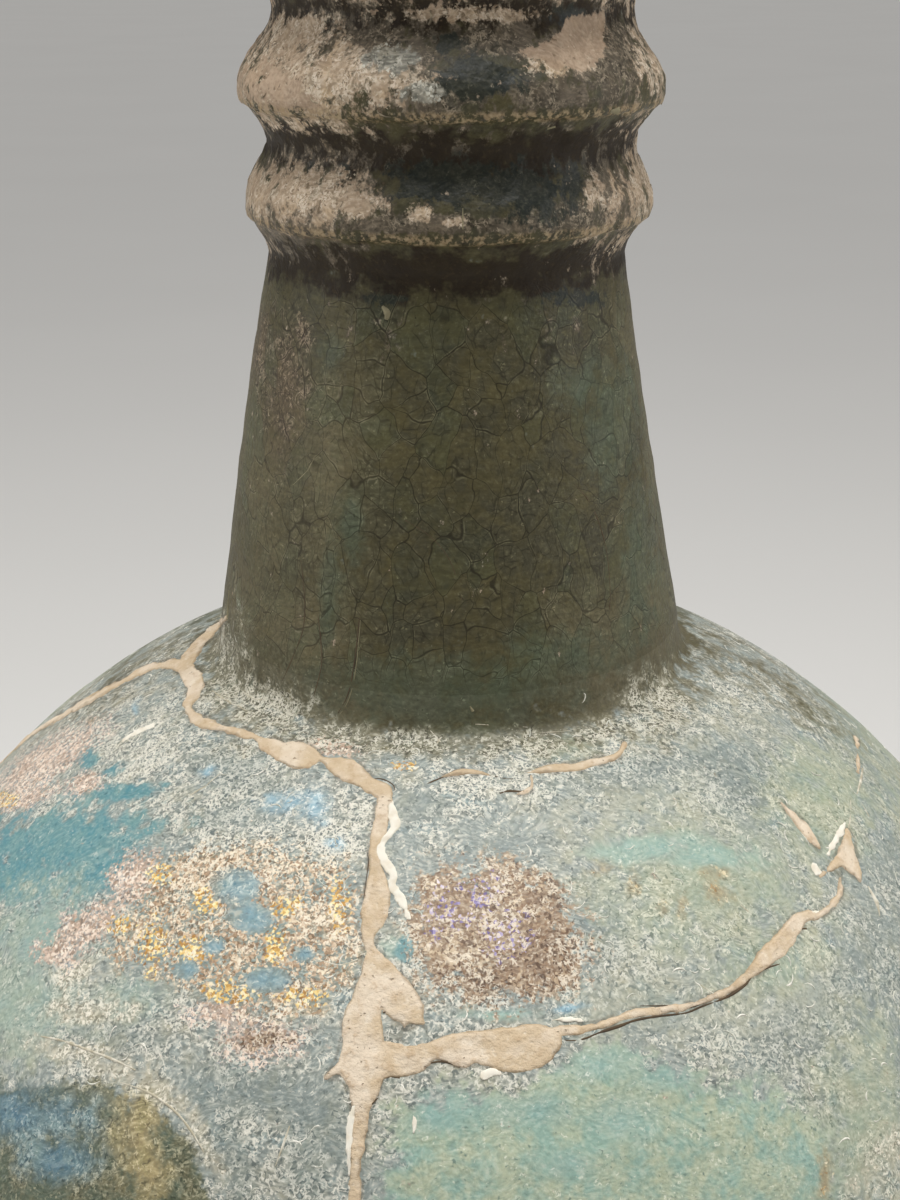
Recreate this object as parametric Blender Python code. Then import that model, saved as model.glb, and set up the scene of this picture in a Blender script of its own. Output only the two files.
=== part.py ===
"""A glazed earthenware jar: a hollow globular body on a low foot ring, with a tapering ringed neck.

The vessel is broken and mended. The tan filler in its breaks lies in shallow channels in the outer wall.
Frame: metres, +Z up, origin at the centre of the underside, and the mended front faces -Y.
"""
import math

import bmesh
import bpy
from mathutils import Vector

MM = 0.001

# Driving dimensions, in millimetres
BODY_RADIUS = 150.0
BELLY_HEIGHT = 128.0
LOWER_BODY_DROP = 131.0
FOOT_RADIUS = 64.0
FOOT_WIDTH = 12.0
FOOT_HEIGHT = 9.0
FOOT_RECESS = 4.0
NECK_BASE_RADIUS = 51.8
NECK_BASE_HEIGHT = 272.5
NECK_BASE_ROUND = 5.0
MOUTH_RADIUS = 47.0
MOUTH_HEIGHT = 452.0
LIP_THICKNESS = 8.0
BODY_WALL = 8.0
NECK_WALL = 7.0
FLOOR_THICKNESS = 11.0

# The neck's waists and ring crests from the bottom up: height above the ground, outer radius
WAISTS = [(357.0, 37.3), (379.6, 37.9), (405.6, 36.4), (429.0, 36.8)]
CRESTS = [(368.4, 42.1), (391.0, 43.4), (416.5, 42.6)]

# Facets of the turned surfaces
SEGMENTS = 48
LOWER_BODY_STEPS = 10
UPPER_BODY_STEPS = 13
FILLET_STEPS = 3
RING_STEPS = 3
INSIDE_STEPS = 12

# The filler and the channels that it lies in, in millimetres
FILLER_DEPTH = 2.5
FILLER_PROUD = 0.5
FILLER_GAP = 0.3
CHANNEL_CLEARANCE = 3.0
STRIP_STEP = 9.0

# Routes of the mended breaks: azimuth in degrees from the front, height and width in millimetres
LONG_SEAM = [
    (-81, 266, 5), (-70, 265.5, 4), (-64, 264, 3.5), (-57, 263.5, 3.5), (-47, 264, 4), (-41, 264.5, 4.5),
    (-34, 264.5, 5.5), (-28, 264, 6), (-22, 264, 4.5), (-16, 263.5, 4), (-11, 262, 4), (-10.5, 259, 4),
    (-11, 256, 4), (-10, 250, 6), (-9, 246, 5), (-8.5, 238, 8), (-8.5, 233, 11), (-8, 229, 11),
    (-7.5, 225, 6), (-8, 221, 2.5), (-8, 205, 2.5), (-10, 188, 2.5), (-8, 168, 2.5), (-10, 150, 2),
]
LEFT_SEAM = [
    (-80, 266, 5), (-86, 264.5, 5), (-89, 261, 4), (-90, 256, 4), (-94, 247, 4), (-98, 236, 3.5),
    (-102, 221, 3), (-103, 204, 2.5), (-107, 186, 2),
]
NECK_SPUR = [(-80, 266, 5), (-85, 267, 5), (-88, 270, 5), (-90, 276, 4), (-90, 283, 3)]
RIGHT_BRANCH = [
    (-9, 230.5, 7), (0, 232.5, 7), (7, 233.5, 7), (10.5, 234, 6.5), (14, 234, 3), (24, 233.5, 2),
    (29.5, 233.5, 2), (34, 235, 3), (38, 237, 4.5), (44, 238.5, 3), (48, 238, 2.5), (54, 240, 3),
    (57, 242, 6), (61, 243.5, 4), (66, 245, 3), (74, 248, 2),
]
NECK_CRACK = [(-3, 264.5, 2), (4, 265, 2), (10, 264, 2), (15, 264, 2), (28, 264, 2.5), (35, 265.5, 2)]


def blend(start, end, share):
    """Ease from one number to another, level at both ends."""
    return start + (end - start) * (0.5 - 0.5 * math.cos(math.pi * share))


def eased_run(low, high, steps):
    """Points after `low` up to `high` on a wall that is upright at both."""
    points = []
    for i in range(1, steps + 1):
        share = i / steps
        radius = blend(low[1], high[1], share)
        height = low[0] + (high[0] - low[0]) * share
        points.append((radius, height))
    return points


def foot_profile():
    """Underside: a shallow recess inside a foot ring with a flat tread."""
    tread = FOOT_RADIUS - FOOT_WIDTH
    return [
        (tread - 3.0, FOOT_RECESS),
        (tread, 0.0),
        (FOOT_RADIUS - 1.0, 0.0),
        (FOOT_RADIUS, 1.5),
        (FOOT_RADIUS - 0.5, FOOT_HEIGHT - 2.0),
        (FOOT_RADIUS + 1.5, FOOT_HEIGHT),
    ]


def lower_body_profile():
    """Outside of the body from the foot up to the widest place: a quarter of an ellipse."""
    start = math.acos((FOOT_RADIUS + 6.0) / BODY_RADIUS)
    points = []
    for i in range(LOWER_BODY_STEPS + 1):
        angle = start * (1 - i / LOWER_BODY_STEPS)
        radius = BODY_RADIUS * math.cos(angle)
        height = BELLY_HEIGHT - LOWER_BODY_DROP * math.sin(angle)
        points.append((radius, height))
    return points


def shoulder_profile():
    """Outside of the body above the widest place, an arc, and the round into the neck."""
    foot_of_neck = NECK_BASE_RADIUS + NECK_BASE_ROUND
    end = math.acos(foot_of_neck / BODY_RADIUS)
    points = []
    for i in range(1, UPPER_BODY_STEPS + 1):
        angle = end * i / UPPER_BODY_STEPS
        points.append((BODY_RADIUS * math.cos(angle), BELLY_HEIGHT + BODY_RADIUS * math.sin(angle)))
    low_radius, low_height = points[-1]
    for i in range(1, FILLET_STEPS + 1):
        share = i / FILLET_STEPS
        radius = low_radius + (NECK_BASE_RADIUS - low_radius) * math.sin(share * math.pi / 2)
        height = NECK_BASE_HEIGHT - (NECK_BASE_HEIGHT - low_height) * math.cos(share * math.pi / 2)
        points.append((radius, height))
    return points


def neck_profile():
    """Outside of the neck: a straight taper, then rings and waists in turn."""
    taper_top_height, taper_top_radius = WAISTS[0]
    points = []
    for share in (0.33, 0.66, 1.0):
        radius = NECK_BASE_RADIUS + (taper_top_radius - NECK_BASE_RADIUS) * share
        points.append((radius, NECK_BASE_HEIGHT + (taper_top_height - NECK_BASE_HEIGHT) * share))
    for waist_below, crest, waist_above in zip(WAISTS, CRESTS, WAISTS[1:]):
        points += eased_run(waist_below, crest, RING_STEPS)
        points += eased_run(crest, waist_above, RING_STEPS)
    return points


def lip_profile():
    """The flare above the last waist, over the rounded lip and down to the throat."""
    flare = eased_run(WAISTS[-1], (MOUTH_HEIGHT - LIP_THICKNESS / 2, MOUTH_RADIUS), 4)
    middle = MOUTH_RADIUS - LIP_THICKNESS / 2
    lip = []
    for degrees in (45, 90, 135, 180):
        angle = math.radians(degrees)
        radius = middle + LIP_THICKNESS / 2 * math.cos(angle)
        height = MOUTH_HEIGHT - LIP_THICKNESS / 2 + LIP_THICKNESS / 2 * math.sin(angle)
        lip.append((radius, height))
    return flare + lip


def inside_profile():
    """Inside from the throat down to the floor, one wall's thickness in from the outside."""
    throat = min(radius for height, radius in WAISTS) - NECK_WALL
    points = [(throat + 2.0, WAISTS[-1][0] + 8.0), (throat, WAISTS[-1][0] - 4.0), (throat, WAISTS[0][0])]
    points.append((NECK_BASE_RADIUS - NECK_WALL - 2.0, NECK_BASE_HEIGHT + 6.0))
    inner = BODY_RADIUS - BODY_WALL
    floor_height = FOOT_RECESS + FLOOR_THICKNESS
    low_drop = BELLY_HEIGHT - floor_height
    top = math.acos((NECK_BASE_RADIUS - NECK_WALL + 2.0) / inner)
    bottom = -math.asin(0.93)
    for i in range(INSIDE_STEPS + 1):
        angle = top + (bottom - top) * i / INSIDE_STEPS
        drop = inner if angle > 0 else low_drop
        points.append((inner * math.cos(angle), BELLY_HEIGHT + drop * math.sin(angle)))
    points.append((inner * math.cos(bottom) - 22.0, floor_height))
    return points


def outside_profile():
    return lower_body_profile() + shoulder_profile() + neck_profile()


OUTSIDE = outside_profile()


def wall_radius(height):
    """Radius of the outside at a height, in millimetres, read along the profile."""
    for (low_radius, low), (high_radius, high) in zip(OUTSIDE, OUTSIDE[1:]):
        if low <= height <= high:
            return low_radius + (high_radius - low_radius) * (height - low) / (high - low)
    raise ValueError("the height is off the vessel's wall")


def wall_point(azimuth, height):
    """Point on the outside, in millimetres. Azimuth 0 faces -Y and grows towards +X."""
    angle = math.radians(azimuth)
    radius = wall_radius(height)
    return Vector((radius * math.sin(angle), -radius * math.cos(angle), height))


def wall_normal(azimuth, height):
    """Direction straight out of the wall, from the profile's slope around the height."""
    reach = 1.0
    slope = (wall_radius(height + reach) - wall_radius(height - reach)) / (2 * reach)
    angle = math.radians(azimuth)
    return Vector((math.sin(angle), -math.cos(angle), -slope)).normalized()


def finish_material(name, colour, roughness):
    material = bpy.data.materials.new(name)
    material.use_nodes = True
    shader = material.node_tree.nodes["Principled BSDF"]
    shader.inputs["Base Color"].default_value = (*colour, 1.0)
    shader.inputs["Roughness"].default_value = roughness
    shader.inputs["Metallic"].default_value = 0.0
    return material


def add_object(name, mesh_builder, material=None):
    """Make an object from a bmesh whose sizes are in millimetres."""
    bmesh.ops.scale(mesh_builder, vec=(MM, MM, MM), verts=mesh_builder.verts)
    bmesh.ops.recalc_face_normals(mesh_builder, faces=mesh_builder.faces)
    mesh = bpy.data.meshes.new(name)
    mesh_builder.to_mesh(mesh)
    mesh_builder.free()
    mesh.shade_smooth()
    mesh.set_sharp_from_angle(angle=math.radians(40))
    if material:
        mesh.materials.append(material)
    solid = bpy.data.objects.new(name, mesh)
    bpy.context.collection.objects.link(solid)
    return solid


def turned_solid(profile):
    """Revolve a profile of (radius, height) about Z, closed by a flat cap at each end."""
    builder = bmesh.new()
    rings = []
    for radius, height in profile:
        ring = []
        for i in range(SEGMENTS):
            angle = 2 * math.pi * i / SEGMENTS
            ring.append(builder.verts.new((radius * math.cos(angle), radius * math.sin(angle), height)))
        rings.append(ring)
    for low, high in zip(rings, rings[1:]):
        for i in range(SEGMENTS):
            j = (i + 1) % SEGMENTS
            builder.faces.new((low[i], low[j], high[j], high[i]))
    builder.faces.new(rings[0])
    builder.faces.new(rings[-1])
    return builder


def even_route(route):
    """The route with points added, so that none are further apart than the strip's step."""
    points = [route[0]]
    for start, end in zip(route, route[1:]):
        gap = (wall_point(end[0], end[1]) - wall_point(start[0], start[1])).length
        steps = max(1, math.ceil(gap / STRIP_STEP))
        for i in range(1, steps + 1):
            share = i / steps
            points.append(tuple(a + (b - a) * share for a, b in zip(start, end)))
    return points


def strip_frames(route):
    """Place, outward, sideways and forward directions and width at each point of a route."""
    points = even_route(route)
    places = [wall_point(azimuth, height) for azimuth, height, width in points]
    frames = []
    for i, (azimuth, height, width) in enumerate(points):
        ahead = places[min(i + 1, len(points) - 1)] - places[max(i - 1, 0)]
        outward = wall_normal(azimuth, height)
        forward = (ahead - outward * ahead.dot(outward)).normalized()
        frames.append((places[i], outward, outward.cross(forward), forward, width))
    return frames


def strip_solid(route, depth, proud, spread):
    """A strip that hugs the wall along a route, `spread` larger than the route says on each side."""
    builder = bmesh.new()
    frames = strip_frames(route)
    rings = []
    for i, (place, outward, side, forward, width) in enumerate(frames):
        along = 0.0
        if i == 0:
            along = -spread
        if i == len(frames) - 1:
            along = spread
        half = width / 2 + spread
        centre = place + forward * along
        corners = [(-half, -depth), (half, -depth), (half, proud), (-half, proud)]
        rings.append([builder.verts.new(centre + side * x + outward * y) for x, y in corners])
    for near, far in zip(rings, rings[1:]):
        for i in range(4):
            j = (i + 1) % 4
            builder.faces.new((near[i], near[j], far[j]))
            builder.faces.new((near[i], far[j], far[i]))
    builder.faces.new(rings[0])
    builder.faces.new(rings[-1])
    return builder


def hide_guide(guide):
    guide.hide_render = True
    guide.display_type = "WIRE"


def add_boolean(solid, guide, operation):
    modifier = solid.modifiers.new(guide.name, "BOOLEAN")
    modifier.operation = operation
    modifier.solver = "EXACT"
    modifier.object = guide


def cut_channel(vessel, name, route):
    """Cut the break that the filler lies in, a gap wider and deeper than the filler."""
    builder = strip_solid(route, FILLER_DEPTH + FILLER_GAP, CHANNEL_CLEARANCE, FILLER_GAP)
    cutter = add_object(name, builder)
    hide_guide(cutter)
    add_boolean(vessel, cutter, "DIFFERENCE")


def make_filler(name, routes, material):
    """One piece of filler, with its branches joined to its first strip."""
    filler = add_object(name, strip_solid(routes[0], FILLER_DEPTH, FILLER_PROUD, 0.0), material)
    for number, route in enumerate(routes[1:], 1):
        branch = add_object(f"{name}_branch_{number}", strip_solid(route, FILLER_DEPTH, FILLER_PROUD, 0.0))
        hide_guide(branch)
        add_boolean(filler, branch, "UNION")
    return filler


def make_vessel(material):
    profile = foot_profile() + OUTSIDE + lip_profile() + inside_profile()
    return add_object("jar", turned_solid(profile), material)


def clear_scene():
    for old in list(bpy.data.objects):
        bpy.data.objects.remove(old, do_unlink=True)


def main():
    clear_scene()
    glaze = finish_material("weathered_glaze", (0.24, 0.29, 0.26), 0.45)
    plaster = finish_material("tan_filler", (0.55, 0.40, 0.27), 0.85)
    vessel = make_vessel(glaze)
    shoulder_routes = [LONG_SEAM, LEFT_SEAM, NECK_SPUR, RIGHT_BRANCH]
    for number, route in enumerate(shoulder_routes + [NECK_CRACK], 1):
        cut_channel(vessel, f"channel_{number}", route)
    make_filler("seam_filler", shoulder_routes, plaster)
    make_filler("neck_crack_filler", [NECK_CRACK], plaster)


main()
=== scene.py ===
"""Looks of the mended, glazed earthenware jar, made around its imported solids.

Sizes are in millimetres until a mesh is made. Azimuth is in degrees: 0 faces -Y, and it grows towards +X.
Places that the photo shows are given in its pixels, 900 wide and 1200 high, and land on the jar through the
camera that the photo was matched with. Places that it doesn't show are given by azimuth and height.
"""
import itertools
import math

import bpy
import numpy as np
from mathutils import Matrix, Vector


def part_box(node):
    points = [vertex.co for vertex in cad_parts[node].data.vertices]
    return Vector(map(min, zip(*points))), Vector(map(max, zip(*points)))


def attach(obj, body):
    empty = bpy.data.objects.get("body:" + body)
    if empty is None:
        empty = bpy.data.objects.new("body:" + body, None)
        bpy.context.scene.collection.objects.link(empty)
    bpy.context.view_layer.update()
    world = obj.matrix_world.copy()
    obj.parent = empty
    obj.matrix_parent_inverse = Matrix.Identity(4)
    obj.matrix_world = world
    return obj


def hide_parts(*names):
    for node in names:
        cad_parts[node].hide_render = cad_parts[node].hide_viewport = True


MM = 0.001

# The camera that the photo was matched with, and the picture's middle on the jar's axis
CAMERA_AWAY = 382.0
CAMERA_HEIGHT = 420.4
CAMERA_DOWN = 20.5
CAMERA_LENS = 54.0
SENSOR_HEIGHT = 36.0
PICTURE_HEIGHT = 1200.0
AXIS_X_PX = 449.0
MIDDLE_X_PX = 450.0
MIDDLE_Y_PX = 600.0
FOCAL_PX = CAMERA_LENS / SENSOR_HEIGHT * PICTURE_HEIGHT

# The turned outline, as the solids have it
FOOT_RADIUS = 64.0
FOOT_TREAD = 52.0
FOOT_RECESS = 4.0
FOOT_HEIGHT = 9.0
BELLY_HEIGHT = 128.0
LOWER_BODY_DROP = 131.0
NECK_BASE = (272.5, 51.8)
NECK_BASE_ROUND = 5.0
WAISTS = [(357.0, 37.3), (379.6, 37.9), (405.6, 36.4), (429.0, 36.8)]
CRESTS = [(368.4, 42.1), (391.0, 43.4), (416.5, 42.6)]
MOUTH_RADIUS = 47.0
LIP_THICKNESS = 8.0
BODY_WALL = 8.0
NECK_WALL = 7.0
FLOOR_HEIGHT = 15.0

# Each ring's lower edge is an arris: how far up its underside it stands, and how proud
ARRIS_SHARE = 0.66
ARRIS_RISE = 0.9

# The neck leans a little off the body's axis: height, shift along X
LEAN = [(0.0, 0.0), (272.0, 0.0), (300.0, -0.5), (335.0, -0.9), (362.0, -0.3), (380.0, 0.4), (452.0, 0.6)]

# The neck has its own finish above this height
NECK_FINISH_FROM = 276.0

# Gloss of the two glazes
BODY_GLOSS = 0.35
NECK_GLOSS = 0.24

# Loose slivers of film: how many, the radius of their curl, its turn in degrees, and their width
FLAKES_TO_A_SQUARE_METRE = 62000.0
FLAKE_CURL = 1.35
FLAKE_TURN = 105.0
FLAKE_WIDTH = 0.36

# How far the threads along breaks sink in the wall, in half-widths, and how thin they may get
THREAD_SUNK = 0.55
THINNEST_HALF = 0.04

# Depths between which the camera's rays are followed to the wall
NEAREST_DEPTH = 180.0
FARTHEST_DEPTH = 560.0
DEPTH_STEP = 0.5

# The skins of filler: spacing of their columns in degrees, and depth in the wall
SEAM_CELL = 0.26
CRACK_CELL = 0.25
WHITE_CELL = 0.22
SKIN_DEPTH = 1.5

# Grooves between the rings, where their shade is painted into the glaze: height, half-width. Then the rings'
# lower edges, and how far their wear reaches
GROOVES = [(358.5, 4.6), (380.6, 4.2), (405.6, 4.0)]
RING_EDGES = (365.2, 387.6, 413.2)
RING_EDGE_REACH = 2.2

# Light and backdrop
SUN_STRENGTH = 1.15
SKY_STRENGTH = 0.2
BACKDROP_STRENGTH = 0.75
BACKDROP_GREY = (0.85, 0.85, 0.85, 1.0)
OVERHEAD_POWER = 7.4
SIDE_POWER = 1.8

# Spacing of the vessel's mesh
COLUMNS = 264
FINE_HALF_ARC = 105.0
LOWER_FINE_HEIGHT = 150.0
ROW_SPACING = {
    "under": 3.5, "low": 3.0, "shoulder": 1.8, "neck": 1.9,
    "rings": 0.8, "lip": 1.2, "throat": 5.0, "hollow": 7.0,
}

# Centre lines of the tan filler in the photo: pixels across and down, width in pixels
SEAM_PX = [
    [(-60, 800, 5), (0, 754, 6), (60, 716, 5), (90, 699, 6), (140, 671, 7), (166, 664, 9), (184, 666, 15),
     (193, 677, 22)],
    [(225, 618, 3), (214, 629, 8), (204, 639, 9), (193, 652, 13), (184, 665, 15), (194, 680, 24),
     (195, 689, 17), (187, 702, 9), (188, 712, 9), (198, 721, 14), (213, 725, 12), (228, 729, 8),
     (241, 733, 12), (255, 737, 9), (268, 745, 17), (282, 751, 22), (300, 755, 32), (312, 756, 17),
     (322, 759, 5), (332, 763, 12), (346, 769, 27), (360, 778, 18), (374, 787, 17), (387, 793, 21),
     (382, 806, 13), (382, 821, 14), (377, 836, 15), (374, 848, 9), (376, 866, 14), (378, 885, 23),
     (378, 902, 28), (372, 920, 25), (368, 936, 11), (371, 952, 18), (372, 980, 25), (368, 1000, 29),
     (362, 1020, 37), (363, 1045, 46), (362, 1066, 50), (366, 1086, 33), (362, 1108, 17), (359, 1130, 14),
     (357, 1148, 13), (355, 1166, 9), (354, 1182, 9), (355, 1200, 12), (354, 1230, 12)],
    [(374, 948, 8), (382, 968, 24), (391, 988, 38), (402, 1003, 40), (411, 1013, 24), (420, 1021, 8),
     (426, 1025, 2)],
    [(402, 1012, 12), (405, 1022, 10), (406, 1031, 3)],
    [(350, 1060, 16), (336, 1071, 7), (326, 1078, 2)],
    [(366, 1058, 40), (405, 1061, 38), (418, 1058, 30), (430, 1051, 22), (446, 1048, 27), (462, 1050, 37),
     (474, 1046, 32), (488, 1048, 39), (508, 1050, 47), (528, 1048, 49), (541, 1042, 37), (551, 1038, 27),
     (559, 1030, 14), (580, 1030, 12), (605, 1024, 11), (635, 1013, 11), (655, 1010, 8), (690, 1007, 8),
     (705, 1001, 7), (735, 988, 9), (754, 969, 13), (768, 957, 19), (782, 944, 20), (797, 921, 17),
     (805, 916, 12), (817, 917, 7), (832, 906, 8), (841, 893, 7), (840, 879, 4)],
    [(847, 829, 4), (848, 844, 12), (846, 858, 22), (855, 868, 13), (860, 880, 4)],
    [(846, 858, 18), (834, 864, 11), (821, 876, 4)],
    [(781, 803, 4), (794, 817, 9), (808, 834, 11), (819, 848, 4)],
]
NECK_CRACK_PX = [
    [(442, 777, 2), (460, 771, 8), (478, 772, 6), (497, 777, 2)],
    [(526, 773, 4), (550, 768, 9), (575, 768, 11), (600, 761, 8), (618, 757, 7), (624, 745, 7)],
    [(531, 776, 5), (533, 786, 6), (526, 792, 9), (514, 795, 2)],
]
WHITE_PX = [
    [(391, 803, 4), (393, 815, 8), (395, 824, 12), (391, 833, 7), (383, 842, 6), (380, 850, 7),
     (386, 863, 9), (395, 876, 9), (391, 884, 5), (398, 894, 9), (403, 903, 8), (409, 917, 6)],
    [(356, 1105, 4), (351, 1116, 7), (350, 1135, 6), (350, 1160, 5), (350, 1188, 3)],
    [(485, 1075, 8), (493, 1072, 9), (499, 1074, 5)],
    [(553, 1020, 3), (568, 1019, 7), (584, 1021, 2)],
    [(829, 853, 3), (833, 844, 6), (840, 833, 7), (845, 823, 3)],
    [(813, 867, 5), (817, 872, 7)],
    [(807, 914, 3), (819, 913, 3)],
    [(414, 1114, 2), (415, 1125, 4), (413, 1136, 2)],
    [(122, 740, 2), (136, 731, 4), (152, 725, 2)],
]

# Filler beyond the photo's edges: azimuth, height, width
HIDDEN_SEAMS = [
    [(-93, 247, 2.6), (-98, 236, 3.5), (-102, 221, 3), (-103, 204, 2.5), (-107, 186, 2)],
    [(-7.7, 214, 2.4), (-7.4, 203, 2.2), (-9, 188, 2.2), (-7.6, 168, 2), (-9.5, 150, 1.2)],
    [(76, 245.5, 2), (82, 245.4, 1.2), (88, 244.8, 2)],
]

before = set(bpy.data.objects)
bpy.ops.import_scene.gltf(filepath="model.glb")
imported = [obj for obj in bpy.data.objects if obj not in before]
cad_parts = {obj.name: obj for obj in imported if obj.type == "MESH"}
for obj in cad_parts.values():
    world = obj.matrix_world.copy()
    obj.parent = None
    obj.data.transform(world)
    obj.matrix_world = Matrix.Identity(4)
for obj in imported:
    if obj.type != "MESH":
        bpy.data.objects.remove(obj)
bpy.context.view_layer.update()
JAR_LOW, JAR_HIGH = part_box("jar")
BODY_RADIUS = (JAR_HIGH.x - JAR_LOW.x) / 2 / MM
MOUTH_HEIGHT = JAR_HIGH.z / MM


# Noise

def lattice_values(cells, seed):
    """A repeatable random value from -1 to 1 for each whole-numbered place."""
    key = cells[..., 0] * 73856093 ^ cells[..., 1] * 19349663 ^ cells[..., 2] * 83492791 ^ seed * 2654435
    key = (key ^ (key >> 13)) * 1274126177 & 0x7FFFFFFF
    key = (key ^ (key >> 11)) * 668265263 & 0x7FFFFFFF
    return ((key >> 7) & 0xFFFF) / 32767.5 - 1.0


def smooth_noise(points, size, seed=0):
    """Smooth random values from -1 to 1, one swell per `size` millimetres."""
    places = points / size + 37.7
    cells = np.floor(places).astype(np.int64)
    local = places - cells
    eased = local ** 3 * (local * (local * 6 - 15) + 10)
    total = np.zeros(points.shape[:-1])
    for corner in itertools.product((0, 1), repeat=3):
        weight = np.prod(np.where(corner, eased, 1 - eased), axis=-1)
        total += weight * lattice_values(cells + corner, seed)
    return total


def layered_noise(points, size, seed=0, layers=3):
    """Noise with finer and weaker layers added, about -1 to 1."""
    total = 0.0
    for layer in range(layers):
        total = total + smooth_noise(points + 11.3 * layer, size / 2 ** layer, seed + layer) / 2 ** layer
    return total * 0.75


def rise(value, low, high):
    """Ease from 0 at `low` to 1 at `high`."""
    share = np.clip((value - low) / (high - low), 0.0, 1.0)
    return share * share * (3 - 2 * share)


# The turned outline

def eased_run(low, high, count=24, arris=0.0):
    """From `low` to `high`, upright at both. An arris stands proud near the top of the run."""
    share = np.arange(1, count + 1) / count
    radius = low[1] + (high[1] - low[1]) * (0.5 - 0.5 * np.cos(np.pi * share))
    proud = np.where(share >= ARRIS_SHARE, (1 - share) / (1 - ARRIS_SHARE), 0.0)
    return np.column_stack([radius + arris * proud, low[0] + (high[0] - low[0]) * share])


def underside_line():
    return np.array([
        (4.0, FOOT_RECESS), (FOOT_TREAD - 3.5, FOOT_RECESS), (FOOT_TREAD - 1.0, 1.2), (FOOT_TREAD + 1.0, 0.0),
        (FOOT_RADIUS - 2.0, 0.0), (FOOT_RADIUS - 0.3, 1.3), (FOOT_RADIUS - 0.6, FOOT_HEIGHT - 3.0),
        (FOOT_RADIUS + 0.6, FOOT_HEIGHT - 0.5), (FOOT_RADIUS + 3.0, FOOT_HEIGHT + 1.4),
    ])


def body_line():
    """Outside of the body from the foot to the neck: an ellipse, an arc and a hollow round."""
    start = math.acos((FOOT_RADIUS + 6.0) / BODY_RADIUS)
    low = np.linspace(-start, 0.0, 60)
    lower = np.column_stack([BODY_RADIUS * np.cos(low), BELLY_HEIGHT + LOWER_BODY_DROP * np.sin(low)])
    end = math.acos((NECK_BASE[1] + NECK_BASE_ROUND) / BODY_RADIUS)
    high = np.linspace(0.0, end, 121)[1:]
    upper = np.column_stack([BODY_RADIUS * np.cos(high), BELLY_HEIGHT + BODY_RADIUS * np.sin(high)])
    turn = np.linspace(0.0, math.pi / 2, 9)[1:]
    round_radius = upper[-1, 0] + (NECK_BASE[1] - upper[-1, 0]) * np.sin(turn)
    round_height = NECK_BASE[0] - (NECK_BASE[0] - upper[-1, 1]) * np.cos(turn)
    return np.vstack([lower, upper, np.column_stack([round_radius, round_height])])


def neck_line():
    """Outside of the neck: a straight taper, then the rings with waists between them."""
    runs = [np.array([(WAISTS[0][1], WAISTS[0][0])])]
    for below, crest, above in zip(WAISTS, CRESTS, WAISTS[1:]):
        runs.append(eased_run(below, (crest[0], crest[1]), arris=ARRIS_RISE))
        runs.append(eased_run((crest[0], crest[1]), above))
    runs.append(eased_run(WAISTS[-1], (MOUTH_HEIGHT - LIP_THICKNESS / 2, MOUTH_RADIUS)))
    return np.vstack(runs)


def lip_line():
    angle = np.linspace(0.0, math.pi, 13)[1:]
    middle = MOUTH_RADIUS - LIP_THICKNESS / 2
    radius = middle + LIP_THICKNESS / 2 * np.cos(angle)
    return np.column_stack([radius, MOUTH_HEIGHT - LIP_THICKNESS / 2 * (1 - np.sin(angle))])


def throat_line():
    throat = min(radius for _, radius in WAISTS) - NECK_WALL
    return np.array([
        (MOUTH_RADIUS - LIP_THICKNESS - 1.5, MOUTH_HEIGHT - 8.0), (throat + 3.0, WAISTS[-1][0] + 9.0),
        (throat + 0.6, WAISTS[-1][0] + 1.0), (throat, WAISTS[-1][0] - 6.0), (throat, WAISTS[0][0] + 6.0),
        (throat + 0.8, WAISTS[0][0] - 4.0), (NECK_BASE[1] - NECK_WALL - 2.0, NECK_BASE[0] + 6.0),
    ])


def hollow_line():
    """Inside of the body down to the floor."""
    inner = BODY_RADIUS - BODY_WALL
    top = math.acos((NECK_BASE[1] - NECK_WALL + 2.0) / inner)
    angle = np.linspace(top, -math.asin(0.93), 90)
    drop = np.where(angle > 0, inner, BELLY_HEIGHT - FLOOR_HEIGHT)
    bowl = np.column_stack([inner * np.cos(angle), BELLY_HEIGHT + drop * np.sin(angle)])
    floor_edge = bowl[-1, 0] - 22.0
    return np.vstack([bowl, [(floor_edge, FLOOR_HEIGHT), (4.0, FLOOR_HEIGHT)]])


OUTSIDE_LINE = np.vstack([body_line(), neck_line()])


def spaced(line, spacing):
    """The same line with points an even distance apart, both ends kept."""
    steps = np.hypot(*np.diff(line, axis=0).T)
    length = np.concatenate([[0.0], np.cumsum(steps)])
    count = max(1, round(length[-1] / spacing))
    along = np.linspace(0.0, length[-1], count + 1)
    return np.column_stack([np.interp(along, length, line[:, 0]), np.interp(along, length, line[:, 1])])


def lean(height):
    heights, shifts = zip(*LEAN)
    return np.interp(height, heights, shifts)


def wall_radius(height):
    return np.interp(height, OUTSIDE_LINE[:, 1], OUTSIDE_LINE[:, 0])


def wall_points(azimuth, height):
    """Places and outward directions on the bare outside, at arrays of azimuth and height."""
    azimuth, height = np.broadcast_arrays(np.asarray(azimuth, float), np.asarray(height, float))
    angle = np.radians(azimuth)
    radius = wall_radius(height)
    slope = (wall_radius(height + 0.8) - wall_radius(height - 0.8)) / 1.6
    places = np.stack([radius * np.sin(angle) + lean(height), -radius * np.cos(angle), height], axis=-1)
    outward = np.stack([np.sin(angle), -np.cos(angle), -slope], axis=-1)
    return places, outward / np.linalg.norm(outward, axis=-1, keepdims=True)


def azimuth_of(points):
    return np.degrees(np.arctan2(points[..., 0], -points[..., 1]))


# Marks that the photo shows

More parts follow.
